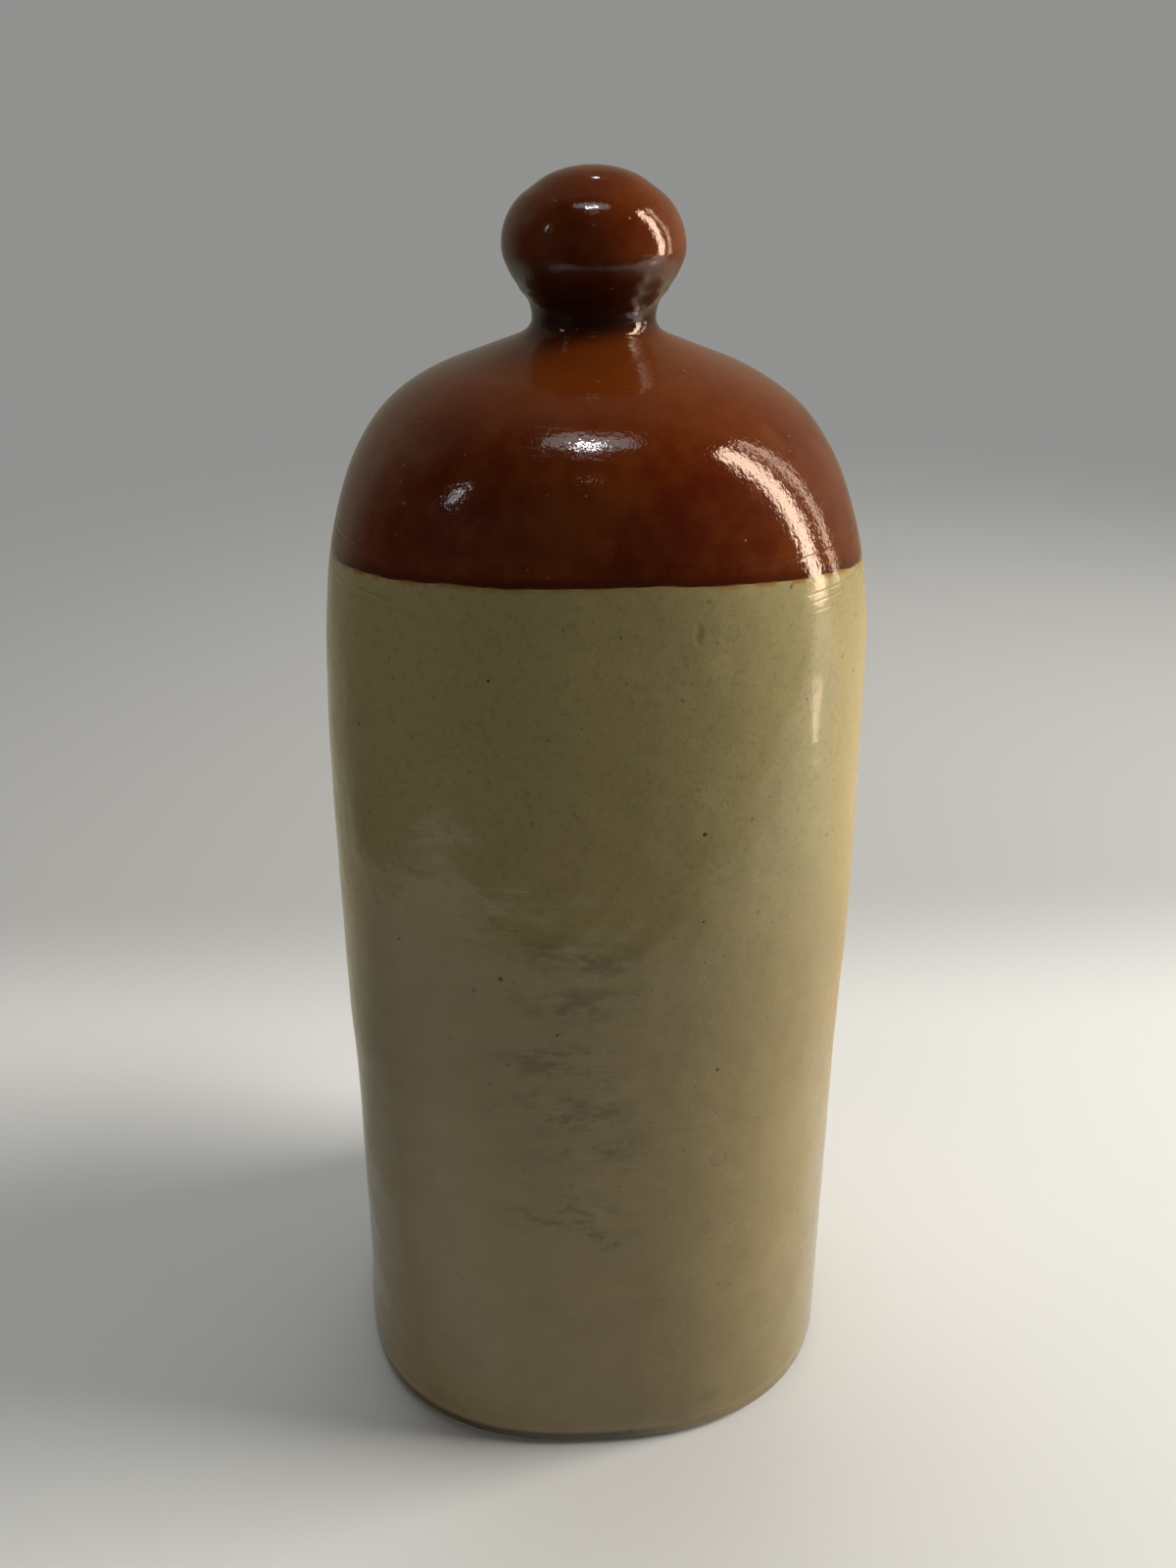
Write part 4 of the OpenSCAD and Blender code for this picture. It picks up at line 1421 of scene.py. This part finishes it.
def build_world():
    """A studio that is pale behind and to the right of the bottle and dim in front of it."""
    world = bpy.data.worlds.new("studio")
    bpy.context.scene.world = world
    world.use_nodes = True
    studio = Nodes(world.node_tree)
    studio.tree.nodes.clear()
    way = studio.add("ShaderNodeTexCoord").outputs["Generated"]
    side = studio.along(way, "X")
    wall = studio.ramp(studio.along(way, "Y"), 0.0, 0.3, 0.0, 0.26)
    wall = studio.times(wall, studio.ramp(studio.along(way, "Z"), 0.25, 0.9, 1.0, 0.3))
    level = studio.plus(wall, studio.ramp(side, 0.45, 0.9, 0.03, 0.12))
    glow = studio.tint(studio.ramp(side, 0.0, 0.5), WALL_GLOW, WALL_GLOW_LIT)
    lit = studio.add("ShaderNodeBackground", None, {"Color": glow, "Strength": level})
    seen = studio.add("ShaderNodeBackground", None, {"Color": WALL_GREY, "Strength": 1.0})
    in_view = studio.add("ShaderNodeLightPath").outputs["Is Camera Ray"]
    both = studio.add("ShaderNodeMixShader", None, {0: in_view, 1: lit.outputs[0], 2: seen.outputs[0]})
    studio.add("ShaderNodeOutputWorld", None, {"Surface": both.outputs[0]})


# Dull cards in front of the bottle and on its left: shade and corners
BLACK_CARD = (0.02, 0.02, 0.02, 1.0)
GREY_CARD = (0.04, 0.04, 0.038, 1.0)
DIM_CARDS = {
    "card_low": (GREY_CARD, (
        (-1.2, -0.27, 0.002), (1.2, -0.27, 0.002), (1.2, -1.6, 0.002), (-1.2, -1.6, 0.002),
    )),
    "card_high": (BLACK_CARD, (
        (-0.30, -0.34, 0.05), (0.35, -0.34, 0.05), (0.35, -0.34, 0.48), (-0.30, -0.34, 0.48),
    )),
    "card_side": (GREY_CARD, (
        (-0.30, 0.25, 0.004), (-0.30, -0.34, 0.004), (-0.30, -0.34, 0.15), (-0.30, 0.25, 0.15),
    )),
    "card_left": (BLACK_CARD, (
        (-0.30, 0.25, 0.15), (-0.30, -0.34, 0.15), (-0.30, -0.34, 0.40), (-0.30, 0.25, 0.40),
    )),
}
# Places along Y between which a card fades out
CARD_FADES = (0.0, 0.24)


def dim_card_material(name, shade):
    """Dull card, fading out towards the back."""
    card = Finish(name)
    card.base = shade
    card.fill(card.shader, {"Alpha": card.fall(card.place("Y"), *CARD_FADES)})
    return card.done(card.ramp(card.grain(3.0), 0.3, 0.7, 0.85, 0.95), BOARD)


def build_dim_cards():
    """Dull cards in front of the bottle and on its left, which only show in the glaze."""
    for name, (shade, corners) in DIM_CARDS.items():
        made = stage_sheet(name, corners, dim_card_material(name, shade))
        made.visible_camera = False
        made.visible_diffuse = False
        made.visible_shadow = False


def build_camera():
    camera = bpy.data.cameras.new("camera")
    camera.lens = CAMERA_LENS
    camera.sensor_width = CAMERA_SENSOR
    camera.clip_start = CAMERA_NEAR
    made = placed("camera", camera)
    made.location = CAMERA_AT
    made.rotation_euler = (CAMERA_PITCH, 0.0, CAMERA_HEADING)
    bpy.context.scene.camera = made


# Operators, panel and registration


def made_material(name, maker, context):
    """The finish of that name, made from the scene's sizes and colours where it isn't there yet."""
    return bpy.data.materials.get(name) or maker(context.scene)


class BOTTLE_OT_glazed_barrel(bpy.types.Operator):
    """Builds the cane-glazed barrel with its base and its threaded filler collar"""

    bl_idname = "bottle.glazed_barrel"
    bl_label = "Glazed barrel"

    def execute(self, context):
        scene = context.scene
        material = made_material("fired_cane_glaze", cane_glaze_material, context)
        piece = build_barrel(Body(scene.bottle_body), Filler(scene.bottle_filler), material)
        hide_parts("base", "barrel", "filler_collar")
        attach(piece, "bottle")
        return {"FINISHED"}


class BOTTLE_OT_brown_shoulder(bpy.types.Operator):
    """Builds the brown-dipped dome with its neck and knob"""

    bl_idname = "bottle.brown_shoulder"
    bl_label = "Brown shoulder and knob"

    def execute(self, context):
        material = made_material("fired_brown_glaze", brown_glaze_material, context)
        piece = build_shoulder(Body(context.scene.bottle_body), material)
        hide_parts("shoulder", "handle_knob")
        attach(piece, "bottle")
        return {"FINISHED"}


class BOTTLE_OT_screw_stopper(bpy.types.Operator):
    """Builds the stoneware screw stopper with its grip bar"""

    bl_idname = "bottle.screw_stopper"
    bl_label = "Screw stopper"

    def execute(self, context):
        material = made_material("fired_stopper_clay", stopper_clay_material, context)
        piece = build_stopper(Filler(context.scene.bottle_filler), material)
        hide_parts("screw_stopper")
        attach(piece, "stopper")
        return {"FINISHED"}


class BOTTLE_OT_sealing_washer(bpy.types.Operator):
    """Builds the rubber washer under the stopper's head"""

    bl_idname = "bottle.sealing_washer"
    bl_label = "Sealing washer"

    def execute(self, context):
        material = made_material("aged_red_rubber", red_rubber_material, context)
        piece = build_washer(Filler(context.scene.bottle_filler), material)
        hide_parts("sealing_washer")
        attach(piece, "washer")
        return {"FINISHED"}


class BOTTLE_OT_stage(bpy.types.Operator):
    """Lays the pale floor, hangs the soft lamps and sets the camera"""

    bl_idname = "bottle.stage"
    bl_label = "Floor, light and camera"

    def execute(self, context):
        build_floor(context.scene.bottle_colours)
        build_world()
        build_dim_cards()
        for lamp in SOFT_LAMPS:
            area_lamp(*lamp, in_gloss=False)
        for lamp in GLOSS_LAMPS:
            area_lamp(*lamp, in_gloss=True)
        build_camera()
        context.scene.view_settings.view_transform = "Standard"
        return {"FINISHED"}


class BOTTLE_PT_sidebar(bpy.types.Panel):
    """Lists the bottle's pieces and its stage"""

    bl_idname = "BOTTLE_PT_sidebar"
    bl_label = "Stoneware bottle"
    bl_space_type = "VIEW_3D"
    bl_region_type = "UI"
    bl_category = "Bottle"

    def draw(self, context):
        for operator in OPERATORS:
            self.layout.operator(operator.bl_idname)


PROPERTY_GROUPS = {
    "bottle_body": BottleBodySizes,
    "bottle_filler": BottleFillerSizes,
    "bottle_colours": BottleColours,
}
OPERATORS = (
    BOTTLE_OT_glazed_barrel,
    BOTTLE_OT_brown_shoulder,
    BOTTLE_OT_screw_stopper,
    BOTTLE_OT_sealing_washer,
    BOTTLE_OT_stage,
)
CLASSES = tuple(PROPERTY_GROUPS.values()) + OPERATORS + (BOTTLE_PT_sidebar,)


def register():
    for one in CLASSES:
        bpy.utils.register_class(one)
    for name, group in PROPERTY_GROUPS.items():
        setattr(bpy.types.Scene, name, PointerProperty(type=group))


def unregister():
    for name in PROPERTY_GROUPS:
        delattr(bpy.types.Scene, name)
    for one in reversed(CLASSES):
        bpy.utils.unregister_class(one)


def main():
    register()
    bpy.ops.bottle.glazed_barrel()
    bpy.ops.bottle.brown_shoulder()
    bpy.ops.bottle.screw_stopper()
    bpy.ops.bottle.sealing_washer()
    bpy.ops.bottle.stage()


if __name__ == "__main__":
    main()
